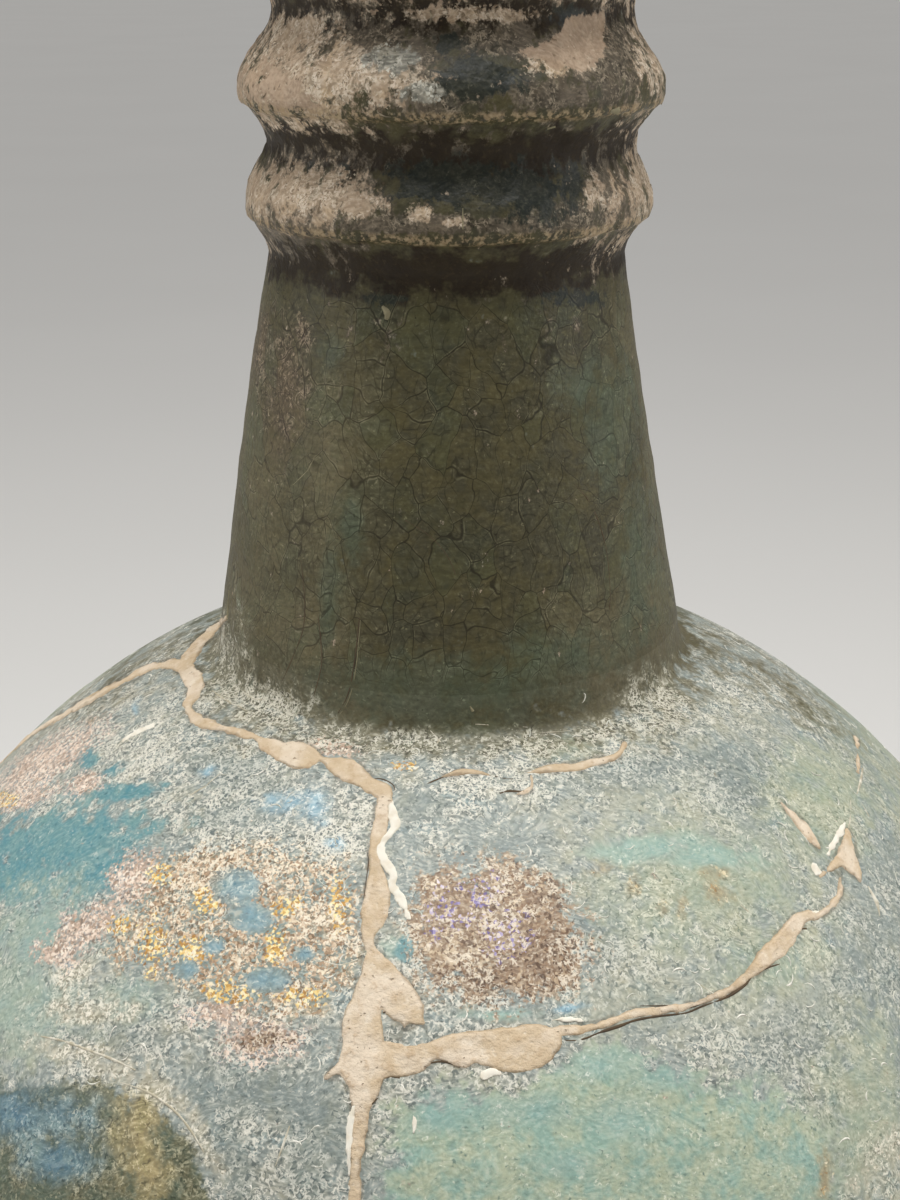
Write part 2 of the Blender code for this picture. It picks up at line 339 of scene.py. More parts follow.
def photo_view(points):
    """Where points land in the photo: pixels across and down, millimetres to a pixel, and how squarely the
    bare wall there faces the camera."""
    tilt = math.radians(CAMERA_DOWN)
    forward = points[:, 1] + CAMERA_AWAY
    upward = points[:, 2] - CAMERA_HEIGHT
    depth = forward * math.cos(tilt) - upward * math.sin(tilt)
    x = AXIS_X_PX + FOCAL_PX * points[:, 0] / depth
    y = MIDDLE_Y_PX - FOCAL_PX * (forward * math.sin(tilt) + upward * math.cos(tilt)) / depth
    _, outward = wall_points(azimuth_of(points), points[:, 2])
    to_camera = np.array([0.0, -CAMERA_AWAY, CAMERA_HEIGHT]) - points
    facing = (outward * to_camera).sum(axis=1) / np.linalg.norm(to_camera, axis=1)
    return np.column_stack([x, y, depth / FOCAL_PX, facing])


def softened(route):
    """The route with its corners cut twice, so that it bends smoothly."""
    rows = np.array(route, float)
    for _ in range(2):
        inner = np.empty((2 * len(rows) - 2, rows.shape[1]))
        inner[0::2] = 0.75 * rows[:-1] + 0.25 * rows[1:]
        inner[1::2] = 0.25 * rows[:-1] + 0.75 * rows[1:]
        rows = np.vstack([rows[:1], inner[1:-1], rows[-1:]])
    return rows


def line_gap(view, route):
    """Millimetres from the edge of a strip in the photo, below 0 inside it. Its widths are in pixels."""
    rows = softened(route)
    near = np.all((view[:, :2] > rows[:, :2].min(0) - 60) & (view[:, :2] < rows[:, :2].max(0) + 60), axis=1)
    near &= view[:, 3] > 0.0
    place = view[near, :2]
    gap = np.full(len(place), 120.0)
    for start, end in zip(rows, rows[1:]):
        run = end[:2] - start[:2]
        share = np.clip((place - start[:2]) @ run / (run @ run), 0.0, 1.0)
        away = np.linalg.norm(place - start[:2] - share[:, None] * run, axis=1)
        gap = np.minimum(gap, away - (start[2] + (end[2] - start[2]) * share) / 2)
    nearest = np.full(len(view), 30.0)
    nearest[near] = np.minimum(gap * view[near, 2], 30.0)
    return nearest


def area_gap(view, outline):
    """Millimetres outside a closed outline in the photo, below 0 inside it."""
    corners = softened(outline + outline[:1])
    gap = np.full(len(view), 30.0)
    near = np.all((view[:, :2] > corners.min(0) - 60) & (view[:, :2] < corners.max(0) + 60), axis=1)
    near &= view[:, 3] > 0.0
    place = view[near, :2]
    nearest = np.full(len(place), 1e9)
    inside = np.zeros(len(place), bool)
    for start, end in zip(corners, corners[1:]):
        run = end - start
        share = np.clip((place - start) @ run / max(run @ run, 1e-9), 0.0, 1.0)
        nearest = np.minimum(nearest, ((place - start - share[:, None] * run) ** 2).sum(axis=1))
        if run[1]:
            crossing = start[0] + (place[:, 1] - start[1]) / run[1] * run[0]
            inside ^= ((start[1] > place[:, 1]) != (end[1] > place[:, 1])) & (place[:, 0] < crossing)
    gap[near] = np.sqrt(nearest) * view[near, 2] * np.where(inside, -1.0, 1.0)
    return gap


def spot(view, x, y, across, along, turn=0.0):
    """A soft mark in the photo: 1 in its middle, 0.5 on its border, 0 at twice its half-sizes."""
    tilt = math.radians(turn)
    right = view[:, 0] - x
    down = view[:, 1] - y
    reach = np.hypot((right * math.cos(tilt) + down * math.sin(tilt)) / across,
                     (down * math.cos(tilt) - right * math.sin(tilt)) / along)
    return np.clip(1.0 - 0.5 * reach, 0.0, 1.0) * rise(view[:, 3], -0.02, 0.1)


# Marks on the sides that the photo doesn't show

def patch(points, azimuth, height, across, along):
    """A soft mark round a place on the wall: 0.5 on its border, 0 at twice its half-sizes."""
    centre, outward = wall_points(azimuth, height)
    angle = math.radians(azimuth)
    east = np.array([math.cos(angle), math.sin(angle), 0.0])
    offset = points - centre
    x = offset @ east
    y = offset @ np.cross(outward, east)
    depth = offset @ outward
    reach = np.sqrt((x / across) ** 2 + (y / along) ** 2 + (depth / max(across, along)) ** 2)
    reach += 0.5 * layered_noise(points, 34.0, 95) + 0.3 * layered_noise(points, 9.0, 97)
    return np.clip(1.0 - 0.5 * reach, 0.0, 0.68)


def route_gap(points, route):
    """Millimetres from the edge of a strip along a route on the wall, below 0 inside it."""
    rows = np.array(route, float)
    places, _ = wall_points(rows[:, 0], rows[:, 1])
    nearest = np.full(len(points), 30.0)
    for i in range(len(rows) - 1):
        run = places[i + 1] - places[i]
        share = np.clip((points - places[i]) @ run / (run @ run), 0.0, 1.0)
        gap = np.linalg.norm(points - places[i] - share[:, None] * run, axis=1)
        nearest = np.minimum(nearest, gap - (rows[i, 2] + (rows[i + 1, 2] - rows[i, 2]) * share) / 2)
    return nearest


# Edges of the fillers and lines

def routes_gap(points, routes, roughness, size, seed):
    """Distance from the nearest of the photo's strips, with rough edges, below 0 inside it."""
    view = photo_view(points)
    gap = np.min([line_gap(view, route) for route in routes], axis=0)
    return gap + roughness * layered_noise(points, size, seed)


def seam_gap(points):
    hidden = np.min([route_gap(points, route) for route in HIDDEN_SEAMS], axis=0)
    rough = 0.36 * layered_noise(points, 2.8, 71) + 0.3 * layered_noise(points, 8.0, 74, 2)
    rough += 0.2 * layered_noise(points, 1.3, 76, 1)
    return np.minimum(routes_gap(points, SEAM_PX, 0.0, 1.0, 0), hidden) + rough


def crack_gap(points):
    return routes_gap(points, NECK_CRACK_PX, 0.16, 2.0, 81)


def white_gap(points):
    return routes_gap(points, WHITE_PX, 0.4, 1.7, 83)


# Relief of the outside

def outside_relief(points):
    """How far the surface stands out from the turned outline, in millimetres."""
    height = points[..., 2]
    rings = rise(height, 352.0, 362.0)
    lumps = 0.5 * layered_noise(points, 45.0, 1, 2)
    throwing = 0.14 * smooth_noise(points * (0.02, 0.02, 1.0), 5.0, 2)
    wobble = rings * 0.4 * layered_noise(points * (1.0, 1.0, 1.6), 14.0, 3)
    scraps = 0.3 * rise(layered_noise(points, 6.0, 6), 0.0, 0.35)
    crumbs = rings * (0.16 * layered_noise(points, 2.4, 5, 2) + scraps)
    pits = -0.16 * rise(layered_noise(points, 3.0, 4), 0.15, 0.7) * (1 - rings)
    return lumps * (1 - 0.6 * rings) + throwing + wobble + crumbs + pits


# Meshes

def column_azimuths():
    """Azimuths of the columns, close together in front and wide apart behind."""
    fine = np.linspace(-180.0, 180.0, 3601)
    density = 1.0 - 0.58 * rise(np.abs(fine), FINE_HALF_ARC, FINE_HALF_ARC + 22.0)
    total = np.concatenate([[0.0], np.cumsum((density[1:] + density[:-1]) / 2)])
    return np.interp(np.arange(COLUMNS) / COLUMNS * total[-1], total, fine)


def build_mesh(name, vertices, faces):
    """A smooth-shaded object from places in millimetres."""
    mesh = bpy.data.meshes.new(name)
    mesh.from_pydata((np.asarray(vertices) * MM).tolist(), [], faces)
    mesh.shade_smooth()
    mesh.update()
    piece = bpy.data.objects.new(name, mesh)
    bpy.context.scene.collection.objects.link(piece)
    return piece


def ring_bridge(low, high):
    """Faces between two closed rows of vertex numbers. One may have half as many as the other."""
    faces = []
    if len(low) == len(high):
        for i in range(len(low)):
            j = (i + 1) % len(low)
            faces.append((low[i], low[j], high[j], high[i]))
        return faces
    flip = len(low) < len(high)
    fine, coarse = (high, low) if flip else (low, high)
    for i in range(len(coarse)):
        j = (i + 1) % len(coarse)
        left, middle, right = fine[2 * i], fine[2 * i + 1], fine[(2 * i + 2) % len(fine)]
        for face in ((left, middle, coarse[i]), (middle, right, coarse[j], coarse[i])):
            faces.append(face[::-1] if flip else face)
    return faces


def outside_between(low, high):
    """The outside's line from one height to another."""
    line = OUTSIDE_LINE
    inner = line[(line[:, 1] > low + 0.01) & (line[:, 1] < high - 0.01)]
    return np.vstack([(wall_radius(low), low), inner, (wall_radius(high), high)])


def vessel_rows():
    """Rows of the whole vessel from the underside's middle round to the floor's middle:
    radius, height, columns left out, and whether the row is on the outside."""
    top = OUTSIDE_LINE[-1, 1]
    bottom = OUTSIDE_LINE[0, 1]
    runs = [
        (underside_line(), "under", 2, False),
        (outside_between(bottom, LOWER_FINE_HEIGHT), "low", 2, True),
        (outside_between(LOWER_FINE_HEIGHT, NECK_BASE[0]), "shoulder", 1, True),
        (outside_between(NECK_BASE[0], WAISTS[0][0]), "neck", 1, True),
        (outside_between(WAISTS[0][0], WAISTS[-1][0]), "rings", 1, True),
        (outside_between(WAISTS[-1][0], top), "lip", 1, True),
        (lip_line(), "lip", 1, True),
        (throat_line(), "throat", 2, False),
        (hollow_line(), "hollow", 4, False),
    ]
    rows = []
    for line, spacing, stride, outside in runs:
        for radius, height in spaced(line, ROW_SPACING[spacing])[1 if rows else 0:]:
            rows.append((radius, height, stride, outside))
    return rows


def make_vessel():
    """The vessel in one closed mesh, finest in front, on the shoulder and on the neck."""
    azimuths = column_azimuths()
    vertices = []
    outside = []
    rings = []
    for radius, height, stride, is_outside in vessel_rows():
        angle = np.radians(azimuths[::stride])
        start = len(outside)
        x = radius * np.sin(angle) + lean(height)
        y = -radius * np.cos(angle)
        vertices.append(np.column_stack([x, y, np.full(len(angle), height)]))
        outside += [is_outside] * len(angle)
        rings.append(list(range(start, start + len(angle))))
    faces = [tuple(reversed(rings[0]))]
    for low, high in zip(rings, rings[1:]):
        faces += ring_bridge(low, high)
    faces.append(tuple(rings[-1]))
    places = np.vstack(vertices)
    outside = np.array(outside)
    _, outward = wall_points(azimuth_of(places), places[:, 2])
    fade = rise(places[:, 2], FOOT_HEIGHT, 25.0)
    fade *= 1 - rise(places[:, 2], MOUTH_HEIGHT - 9, MOUTH_HEIGHT - 3)
    places += outward * (outside_relief(places) * outside * fade)[:, None]
    return build_mesh("glazed_jar", places, faces), places


def add_marks(piece, marks):
    """Store named marks on a mesh's points, for its material to read."""
    for name, values in marks.items():
        layer = piece.data.attributes.new(name, "FLOAT", "POINT")
        layer.data.foreach_set("value", np.asarray(values, np.float32))


def kept_cells(inside):
    """Grid cells that touch the inside, without cells that meet only at a corner."""
    touched = inside[:-1, :-1] | inside[1:, :-1] | inside[:-1, 1:] | inside[1:, 1:]
    for _ in range(4):
        crossed = touched[:-1, :-1] & touched[1:, 1:] & ~touched[1:, :-1] & ~touched[:-1, 1:]
        touched[1:, :-1] |= crossed
        crossed = touched[1:, :-1] & touched[:-1, 1:] & ~touched[:-1, :-1] & ~touched[1:, 1:]
        touched[:-1, :-1] |= crossed
    return touched


def grid_heights(heights, cell):
    """Heights whose rows are as far apart along the wall as the columns are round it."""
    rows = [heights[0]]
    while rows[-1] < heights[1]:
        radius = wall_radius(rows[-1])
        slope = (wall_radius(rows[-1] + 0.4) - wall_radius(rows[-1] - 0.4)) / 0.8
        rows.append(rows[-1] + math.radians(cell) * radius / math.hypot(1.0, slope))
    return np.array(rows)


def make_skin(name, gap, height_over, azimuths, heights, cell):
    """A thin closed piece on the wall where `gap` is below 0. Its rim is moved onto the gap's edge.

    `height_over` gives how far its face stands over the wall at each distance inside the rim.
    """
    rows = grid_heights(heights, cell)
    azimuth, height = np.meshgrid(np.arange(azimuths[0], azimuths[1], cell), rows, indexing="ij")
    places, _ = wall_points(azimuth, height)
    values = gap(places.reshape(-1, 3)).reshape(azimuth.shape)
    cells = kept_cells(values < 0)
    across, upward = np.gradient(values)
    steep = np.maximum(across ** 2 + upward ** 2, 1e-6)
    shift = np.where(values > 0, -values, 0.0) / steep
    azimuth = azimuth + np.clip(shift * across, -0.9, 0.9) * cell
    height = height + np.clip(shift * upward, -0.9, 0.9) * np.gradient(rows)[None, :]
    numbers = np.full(azimuth.shape, -1)
    used = np.zeros(azimuth.shape, bool)
    for part in (used[:-1, :-1], used[1:, :-1], used[:-1, 1:], used[1:, 1:]):
        part |= cells
    numbers[used] = np.arange(used.sum())
    bare, outward = wall_points(azimuth[used], height[used])
    inside = np.maximum(-values[used], 0.0)
    ground = outside_relief(bare)
    top = bare + outward * (ground + height_over(bare, inside))[:, None]
    bottom = bare + outward * (ground - SKIN_DEPTH)[:, None]
    count = len(bare)
    faces = []
    edges = set()
    for i, j in np.argwhere(cells):
        corners = (numbers[i, j], numbers[i + 1, j], numbers[i + 1, j + 1], numbers[i, j + 1])
        face = tuple(int(corner) for corner in corners)
        faces.append(face)
        faces.append(tuple(n + count for n in reversed(face)))
        edges.update(zip(face, face[1:] + face[:1]))
    for a, b in edges:
        if (b, a) not in edges:
            faces.append((b, a, a + count, b + count))
    skin = build_mesh(name, np.vstack([top, bottom]), faces)
    add_marks(skin, {"inside": np.concatenate([inside, inside])})
    return skin


# Pieces that a geometry tree makes

class Tree:
    """A geometry tree with named inputs, and a short call that adds a node."""

    def __init__(self, name, inputs):
        self.group = bpy.data.node_groups.new(name, "GeometryNodeTree")
        face = self.group.interface
        face.new_socket("Carrier", in_out="INPUT", socket_type="NodeSocketGeometry")
        for label, (kind, value) in inputs.items():
            face.new_socket(label, in_out="INPUT", socket_type=kind).default_value = value
        face.new_socket("Piece", in_out="OUTPUT", socket_type="NodeSocketGeometry")
        self.given = self.group.nodes.new("NodeGroupInput").outputs

    def add(self, kind, inputs, **settings):
        node = self.group.nodes.new(kind)
        for name, value in settings.items():
            setattr(node, name, value)
        for name, value in inputs.items():
            if isinstance(value, bpy.types.NodeSocket):
                self.group.links.new(value, node.inputs[name])
            else:
                node.inputs[name].default_value = value
        return node

    def maths(self, operation, first, second):
        return self.add("ShaderNodeMath", {0: first, 1: second}, operation=operation).outputs[0]

    def named(self, name):
        """A mark of the carrier, by its name."""
        node = self.add("GeometryNodeInputNamedAttribute", {"Name": name}, data_type="FLOAT")
        return node.outputs["Attribute"]

    def swept(self, line, sides, radius, scale):
        """A closed bar along a line, with a many-sided section that the scale makes thicker or thinner."""
        section = self.add("GeometryNodeCurvePrimitiveCircle", {"Resolution": sides, "Radius": radius})
        inputs = {"Curve": line, "Profile Curve": section.outputs[0], "Scale": scale, "Fill Caps": True}
        return self.add("GeometryNodeCurveToMesh", inputs).outputs[0]

    def random(self, low, high, seed):
        """A random vector for each instance."""
        inputs = {"Min": low, "Max": high, "Seed": seed}
        return self.add("FunctionNodeRandomValue", inputs, data_type="FLOAT_VECTOR").outputs[0]

    def end(self, geometry):
        """Realised, smooth and with its material, as the tree's result."""
        real = self.add("GeometryNodeRealizeInstances", {"Geometry": geometry}).outputs[0]
        smooth = self.add("GeometryNodeSetShadeSmooth", {"Geometry": real}).outputs[0]
        dress = {"Geometry": smooth, "Material": self.given["Finish"]}
        dressed = self.add("GeometryNodeSetMaterial", dress)
        self.group.links.new(dressed.outputs[0], self.group.nodes.new("NodeGroupOutput").inputs[0])
        return self.group


def thread_tree(material):
    """Closed threads along the carrier's edges, as thick as its `half_width` says."""
    tree = Tree("thread_on_wall", {
        "Sides": ("NodeSocketInt", 6),
        "Finish": ("NodeSocketMaterial", material),
    })
    line = tree.add("GeometryNodeMeshToCurve", {"Mesh": tree.given["Carrier"]}).outputs[0]
    return tree.end(tree.swept(line, tree.given["Sides"], 1.0, tree.named("half_width")))


def flake_tree(material):
    """Curled slivers of loose film, scattered on the carrier where its `flakes` mark says."""
    tree = Tree("loose_flakes", {
        "Flakes to a square metre": ("NodeSocketFloat", FLAKES_TO_A_SQUARE_METRE),
        "Curl Radius": ("NodeSocketFloat", FLAKE_CURL * MM),
        "Curl Angle": ("NodeSocketFloat", math.radians(FLAKE_TURN)),
        "Half Width": ("NodeSocketFloat", FLAKE_WIDTH / 2 * MM),
        "Seed": ("NodeSocketInt", 7),
        "Finish": ("NodeSocketMaterial", material),
    })
    given = tree.given
    density = tree.maths("MULTIPLY", tree.named("flakes"), given["Flakes to a square metre"])
    spread = tree.add("GeometryNodeDistributePointsOnFaces", {
        "Mesh": given["Carrier"], "Density": density, "Seed": given["Seed"],
    }).outputs
    arc = tree.add("GeometryNodeCurveArc", {
        "Resolution": 5, "Radius": given["Curl Radius"], "Sweep Angle": given["Curl Angle"],
    }).outputs[0]
    along = tree.add("GeometryNodeSplineParameter", {}).outputs["Factor"]
    swell = tree.maths("MULTIPLY", along, tree.maths("SUBTRACT", 1.0, along))
    taper = tree.maths("ADD", tree.maths("MULTIPLY", swell, 3.0), 0.25)
    sliver = tree.swept(arc, 4, given["Half Width"], taper)
    spin = tree.random((0.0, 0.0, 0.0), (0.0, 0.0, math.tau), given["Seed"])
    turned = tree.add("FunctionNodeRotateRotation", {
        "Rotation": spread["Rotation"], "Rotate By": spin,
    }, rotation_space="LOCAL").outputs[0]
    placed = tree.add("GeometryNodeInstanceOnPoints", {
        "Points": spread["Points"], "Instance": sliver, "Rotation": turned,
        "Scale": tree.random((0.5, 0.5, 0.4), (1.7, 1.3, 0.7), 19),
    })
    return tree.end(placed.outputs[0])


def grown(name, carrier, tree):
    """The plain mesh that a tree makes from a carrier, which is used up. Only the tree's own finish stays."""
    carrier.modifiers.new("growth", "NODES").node_group = tree
    bpy.context.view_layer.update()
    evaluated = carrier.evaluated_get(bpy.context.evaluated_depsgraph_get())
    mesh = bpy.data.meshes.new_from_object(evaluated)
    mesh.name = name
    finish = mesh.materials[-1]
    mesh.materials.clear()
    mesh.materials.append(finish)
    mesh.polygons.foreach_set("material_index", np.zeros(len(mesh.polygons), np.int32))
    bpy.data.objects.remove(carrier)
    piece = bpy.data.objects.new(name, mesh)
    bpy.context.scene.collection.objects.link(piece)
    return piece


def wall_at(rows):
    """Where rows of photo pixels land on the bare wall: azimuths, heights and millimetres to a pixel."""
    tilt = math.radians(CAMERA_DOWN)
    right = ((rows[:, 0] - AXIS_X_PX) / FOCAL_PX)[:, None]
    raised = ((MIDDLE_Y_PX - rows[:, 1]) / FOCAL_PX)[:, None]
    depth = np.arange(NEAREST_DEPTH, FARTHEST_DEPTH, DEPTH_STEP)[None, :]
    y = depth * (math.cos(tilt) + raised * math.sin(tilt)) - CAMERA_AWAY
    height = depth * (raised * math.cos(tilt) - math.sin(tilt)) + CAMERA_HEIGHT
    x = depth * right - lean(height)
    proud = np.hypot(x, y) - wall_radius(height)
    after = np.maximum(np.argmax(proud < 0, axis=1), 1)
    before = after - 1
    row = np.arange(len(rows))
    share = proud[row, before] / (proud[row, before] - proud[row, after])
    x, y, height = (values[row, before] + share * (values[row, after] - values[row, before])
                    for values in (x, y, height))
    return np.degrees(np.arctan2(x, -y)), height, depth[0, after] / FOCAL_PX


def make_threads(name, routes, material, seed):
    """Thin closed threads along the photo's routes, half sunk in the wall, with uneven thickness."""
    places = []
    edges = []
    half_widths = []
    for route in routes:
        rows = softened(route)
        azimuth, height, scale = wall_at(rows)
        bare, outward = wall_points(azimuth, height)
        half = rows[:, 2] * scale / 2 * (1 + 0.4 * layered_noise(bare, 2.0, seed))
        edges += [(len(half_widths) + i, len(half_widths) + i + 1) for i in range(len(rows) - 1)]
        places.append(bare + outward * (outside_relief(bare) - THREAD_SUNK * half)[:, None])
        half_widths += list(np.maximum(half, THINNEST_HALF) * MM)
    mesh = bpy.data.meshes.new(name)
    mesh.from_pydata((np.vstack(places) * MM).tolist(), edges, [])
    carrier = bpy.data.objects.new(name, mesh)
    bpy.context.scene.collection.objects.link(carrier)
    add_marks(carrier, {"half_width": half_widths})
    return grown(name, carrier, thread_tree(material))


def make_flakes(vessel, marks, material):
    """Loose slivers of film on the shoulder, the neck's foot and the rings' crust."""
    carrier = bpy.data.objects.new("flakes_carrier", vessel.data.copy())
    bpy.context.scene.collection.objects.link(carrier)
    add_marks(carrier, {"flakes": marks["flakes"]})
    return grown("loose_flakes", carrier, flake_tree(material))


def filler_over(points, inside):
    """The filler lies nearly flush and swells gently from its rim, with knife marks."""
    return -0.1 + 0.34 * rise(inside, 0.0, 0.4) + 0.17 * layered_noise(points, 4.5, 61, 4)


def white_over(points, inside):
    return 0.1 + 0.1 * rise(inside, 0.0, 0.3) + 0.12 * layered_noise(points, 2.0, 62)


# Materials

def srgb(code):
    """Linear colour with full alpha from a six-figure screen colour."""
    parts = [int(code[i:i + 2], 16) / 255 for i in (0, 2, 4)]
    return (*[p / 12.92 if p <= 0.04045 else ((p + 0.055) / 1.055) ** 2.4 for p in parts], 1.0)


class Finish:
    """A material's nodes, with a short call for each kind that the finishes use."""

    def __init__(self, name):
        self.material = bpy.data.materials.new(name)
        self.material.use_nodes = True
        self.nodes = self.material.node_tree.nodes
        self.links = self.material.node_tree.links
        self.shader = self.nodes["Principled BSDF"]
        self.place = self.nodes.new("ShaderNodeTexCoord").outputs["Object"]

    def put(self, socket, value):
        if isinstance(value, bpy.types.NodeSocket):
            self.links.new(value, socket)
        elif isinstance(value, str):
            socket.default_value = srgb(value)
        elif value is not None:
            socket.default_value = value

    def maths(self, operation, first, second=None, third=None):
        node = self.nodes.new("ShaderNodeMath")
        node.operation = operation
        for socket, value in zip(node.inputs, (first, second, third)):
            self.put(socket, value)
        return node.outputs[0]

    def vector(self, operation, first, second):
        node = self.nodes.new("ShaderNodeVectorMath")
        node.operation = operation
        self.put(node.inputs[0], first)
        self.put(node.inputs["Scale" if operation == "SCALE" else 1], second)
        return node.outputs["Vector"]

    def mark(self, name):
        node = self.nodes.new("ShaderNodeAttribute")
        node.attribute_name = name
        return node.outputs["Fac"]

    def noise(self, size, detail, roughness=0.55, place=None, colour=False):
        """Noise with one swell per `size` millimetres."""
        node = self.nodes.new("ShaderNodeTexNoise")
        self.put(node.inputs["Vector"], place or self.place)
        node.inputs["Scale"].default_value = 1.0 / (size * MM)
        node.inputs["Detail"].default_value = detail
        node.inputs["Roughness"].default_value = roughness
        return node.outputs["Color" if colour else "Fac"]

    def cells(self, size, place, feature="F1"):
        """Cells `size` millimetres across."""
        node = self.nodes.new("ShaderNodeTexVoronoi")
        node.feature = feature
        self.put(node.inputs["Vector"], place)
        node.inputs["Scale"].default_value = 1.0 / (size * MM)
        return node.outputs

    def rise(self, value, low, high, start=0.0, end=1.0):
        """Ease from `start` to `end` as the value goes from `low` to `high`."""
        node = self.nodes.new("ShaderNodeMapRange")
        node.interpolation_type = "SMOOTHSTEP"
        for socket, given in zip(node.inputs, (value, low, high, start, end)):
            self.put(socket, given)
        return node.outputs[0]

    def swing(self, value, reach, middle=0.0):
        """A noise's swing about its middle value, times `reach`, plus `middle`."""
        return self.maths("MULTIPLY_ADD", self.maths("SUBTRACT", value, 0.5), reach, middle)

    def average(self, first, second):
        return self.maths("ADD", self.maths("MULTIPLY", first, 0.5), self.maths("MULTIPLY", second, 0.5))

    def parts(self, colour):
        """The three parts of a colour."""
        node = self.nodes.new("ShaderNodeSeparateColor")
        self.links.new(colour, node.inputs[0])
        return node.outputs

    def mix(self, share, first, second):
        node = self.nodes.new("ShaderNodeMix")
        node.data_type = "RGBA"
        colours = [s for s in node.inputs if s.type == "RGBA"]
        self.put(node.inputs[0], share)
        self.put(colours[0], first)
        self.put(colours[1], second)
        return [s for s in node.outputs if s.type == "RGBA"][0]

    def laid(self, colour, tint, share, strength):
        """The colour with a tint laid over it, as strong as the share times the strength."""
        return self.mix(self.maths("MULTIPLY", share, strength), colour, tint)

    def tinted(self, colour, factors):
        return self.vector("MULTIPLY", colour, factors)

    def squeezed(self, x, y, z):
        """Object places scaled unevenly, for marks that run round or up the jar."""
        return self.vector("MULTIPLY", self.place, (x, y, z))

    def warped(self, size, reach, place=None):
        """Places pushed about by noise, for ragged and curling marks."""
        push = self.vector("SUBTRACT", self.noise(size, 2.0, colour=True), (0.5, 0.5, 0.5))
        return self.vector("ADD", place or self.place, self.vector("SCALE", push, reach * MM))

    def ramp(self, value, *stops):
        """Colour along evenly spaced stops."""
        node = self.nodes.new("ShaderNodeValToRGB")
        marks = node.color_ramp.elements
        while len(marks) < len(stops):
            marks.new(0.5)
        for i, code in enumerate(stops):
            marks[i].position = i / (len(stops) - 1)
            marks[i].color = srgb(code)
        self.put(node.inputs[0], value)
        return node.outputs[0]

    def ridge(self, value, width):
        """1 where noise passes its middle value, so that it draws a thin curling line."""
        away = self.maths("ABSOLUTE", self.maths("SUBTRACT", value, 0.5))
        return self.rise(away, width * 0.35, width, 1.0, 0.0)

    def bump(self, height, strength, reach=0.35):
        """Fine relief, `reach` millimetres deep."""
        node = self.nodes.new("ShaderNodeBump")
        node.inputs["Strength"].default_value = strength
        node.inputs["Distance"].default_value = reach * MM
        self.put(node.inputs["Height"], height)
        self.links.new(node.outputs[0], self.shader.inputs["Normal"])

    def finish(self, colour, roughness):
        self.put(self.shader.inputs["Base Color"], colour)
        self.put(self.shader.inputs["Roughness"], roughness)
        return self.material


# Each layer of the glaze: its two colours, pale strokes, dark strokes, how many strokes, roughness, border
GREY_FILM = ("9BA39D", "AEAC9C", "E4E0D2", "606864", 0.66, 0.52)
LAYERS = [
    ("soft_film", "A0A69B", "AFAF9D", "D2D2C3", "747E76", 0.40, 0.50, "soft"),
    ("slate", "8A9490", "989D92", "CFCFC4", "5E6967", 0.50, 0.48, "cloud"),
    ("green", "A0AB95", "B0B29C", "DAD9C4", "707C69", 0.40, 0.50, "soft"),
    ("clear", "95B1A3", "B3BA9F", "D9DCCA", "6C8076", 0.30, 0.36, "cloud"),
    ("pale_teal", "92B1A8", "A2B5A5", "D4DACE", "77928A", 0.30, 0.36, "soft"),
    ("teal", "568E98", "769C9C", "BCC8C1", "447078", 0.28, 0.40, "cloud"),
    ("low_teal", "94ADA5", "A1AD9D", "D0D4C6", "6A7C74", 0.36, 0.42, "soft"),
    ("deep", "5C6756", "79745A", "B0AC90", "384030", 0.46, 0.42, "cloud"),
    ("deep_blue", "547889", "78908F", "B4C1BE", "38525E", 0.40, 0.40, "soft"),
    ("streak", "B8A478", "9C9268", "E0D0A6", "655C44", 0.46, 0.50, "soft"),
    ("band", "C4BDA9", "B1AE9A", "F2EBDA", "7F7B6B", 0.56, 0.60, "soft"),
    ("blue", "8FB2C0", "A4C0C8", "E0E8E6", "6A8A9C", 0.40, 0.45, "soft"),
    ("pink", "C2AB9A", "9AA3A4", "F0DDCB", "6E6760", 0.62, 0.60, "speck"),
    ("gold", "8C9C97", "A59A85", "F2E6D0", "645A49", 0.58, 0.50, "speck"),
    ("violet", "9A836C", "A9967F", "E6D9C4", "5A4234", 0.60, 0.55, "speck"),
    ("rust", "A99A7C", "A09D82", "DACCA8", "76664A", 0.44, 0.50, "soft"),
    ("hole", "7FA1AC", "93AAAD", "CCD6D0", "5B7F8C", 0.40, 0.40, "soft"),
    # The neck's olive and green glazes are painted darker than the glaze itself, as the shade on the neck;
    # olive_and_shade covers the whole neck
    ("olive_and_shade", "565036", "4C4938", "7E795C", "2E2A1B", 0.20, 0.50, "cloud"),
    # neck_warm: a warmer, lighter neck glaze, laid mostly along the neck's sides as painted sheen
    ("neck_warm", "6A624A", "635F46", "928A6F", "433D2A", 0.24, 0.52, "soft"),
    ("neck_green", "575D48", "5C5E4B", "82886E", "353929", 0.20, 0.46, "soft"),
    ("purple", "655947", "5E5745", "A08E78", "3D3228", 0.60, 0.55, "soft"),
    ("pale_low", "7E7B66", "8E8B75", "DAD5C4", "4A4738", 0.80, 0.60, "soft"),
    # shaded_groove: brown glaze in the grooves, painted much darker as the shade that falls in them
    ("shaded_groove", "352B1C", "2F2519", "5E513A", "1E1810", 0.06, 0.60, "cloud"),
    ("ring_dust", "74695A", "61584A", "A69883", "3A3429", 0.46, 0.58, "drip"),
    ("dark_teal", "272C27", "38392F", "6E6C5C", "161915", 0.20, 0.46, "drip"),
    ("crust", "BAA38A", "D2BCA2", "EBDCC8", "7A6952", 0.50, 0.60, "drip"),
    ("silver_crust", "807D72", "9B978A", "D2CCBC", "4C4B40", 0.46, 0.50, "drip"),
    ("bare", "C9B097", "B39B84", "DFCCB4", "7D6952", 0.28, 0.62, "drip"),
]

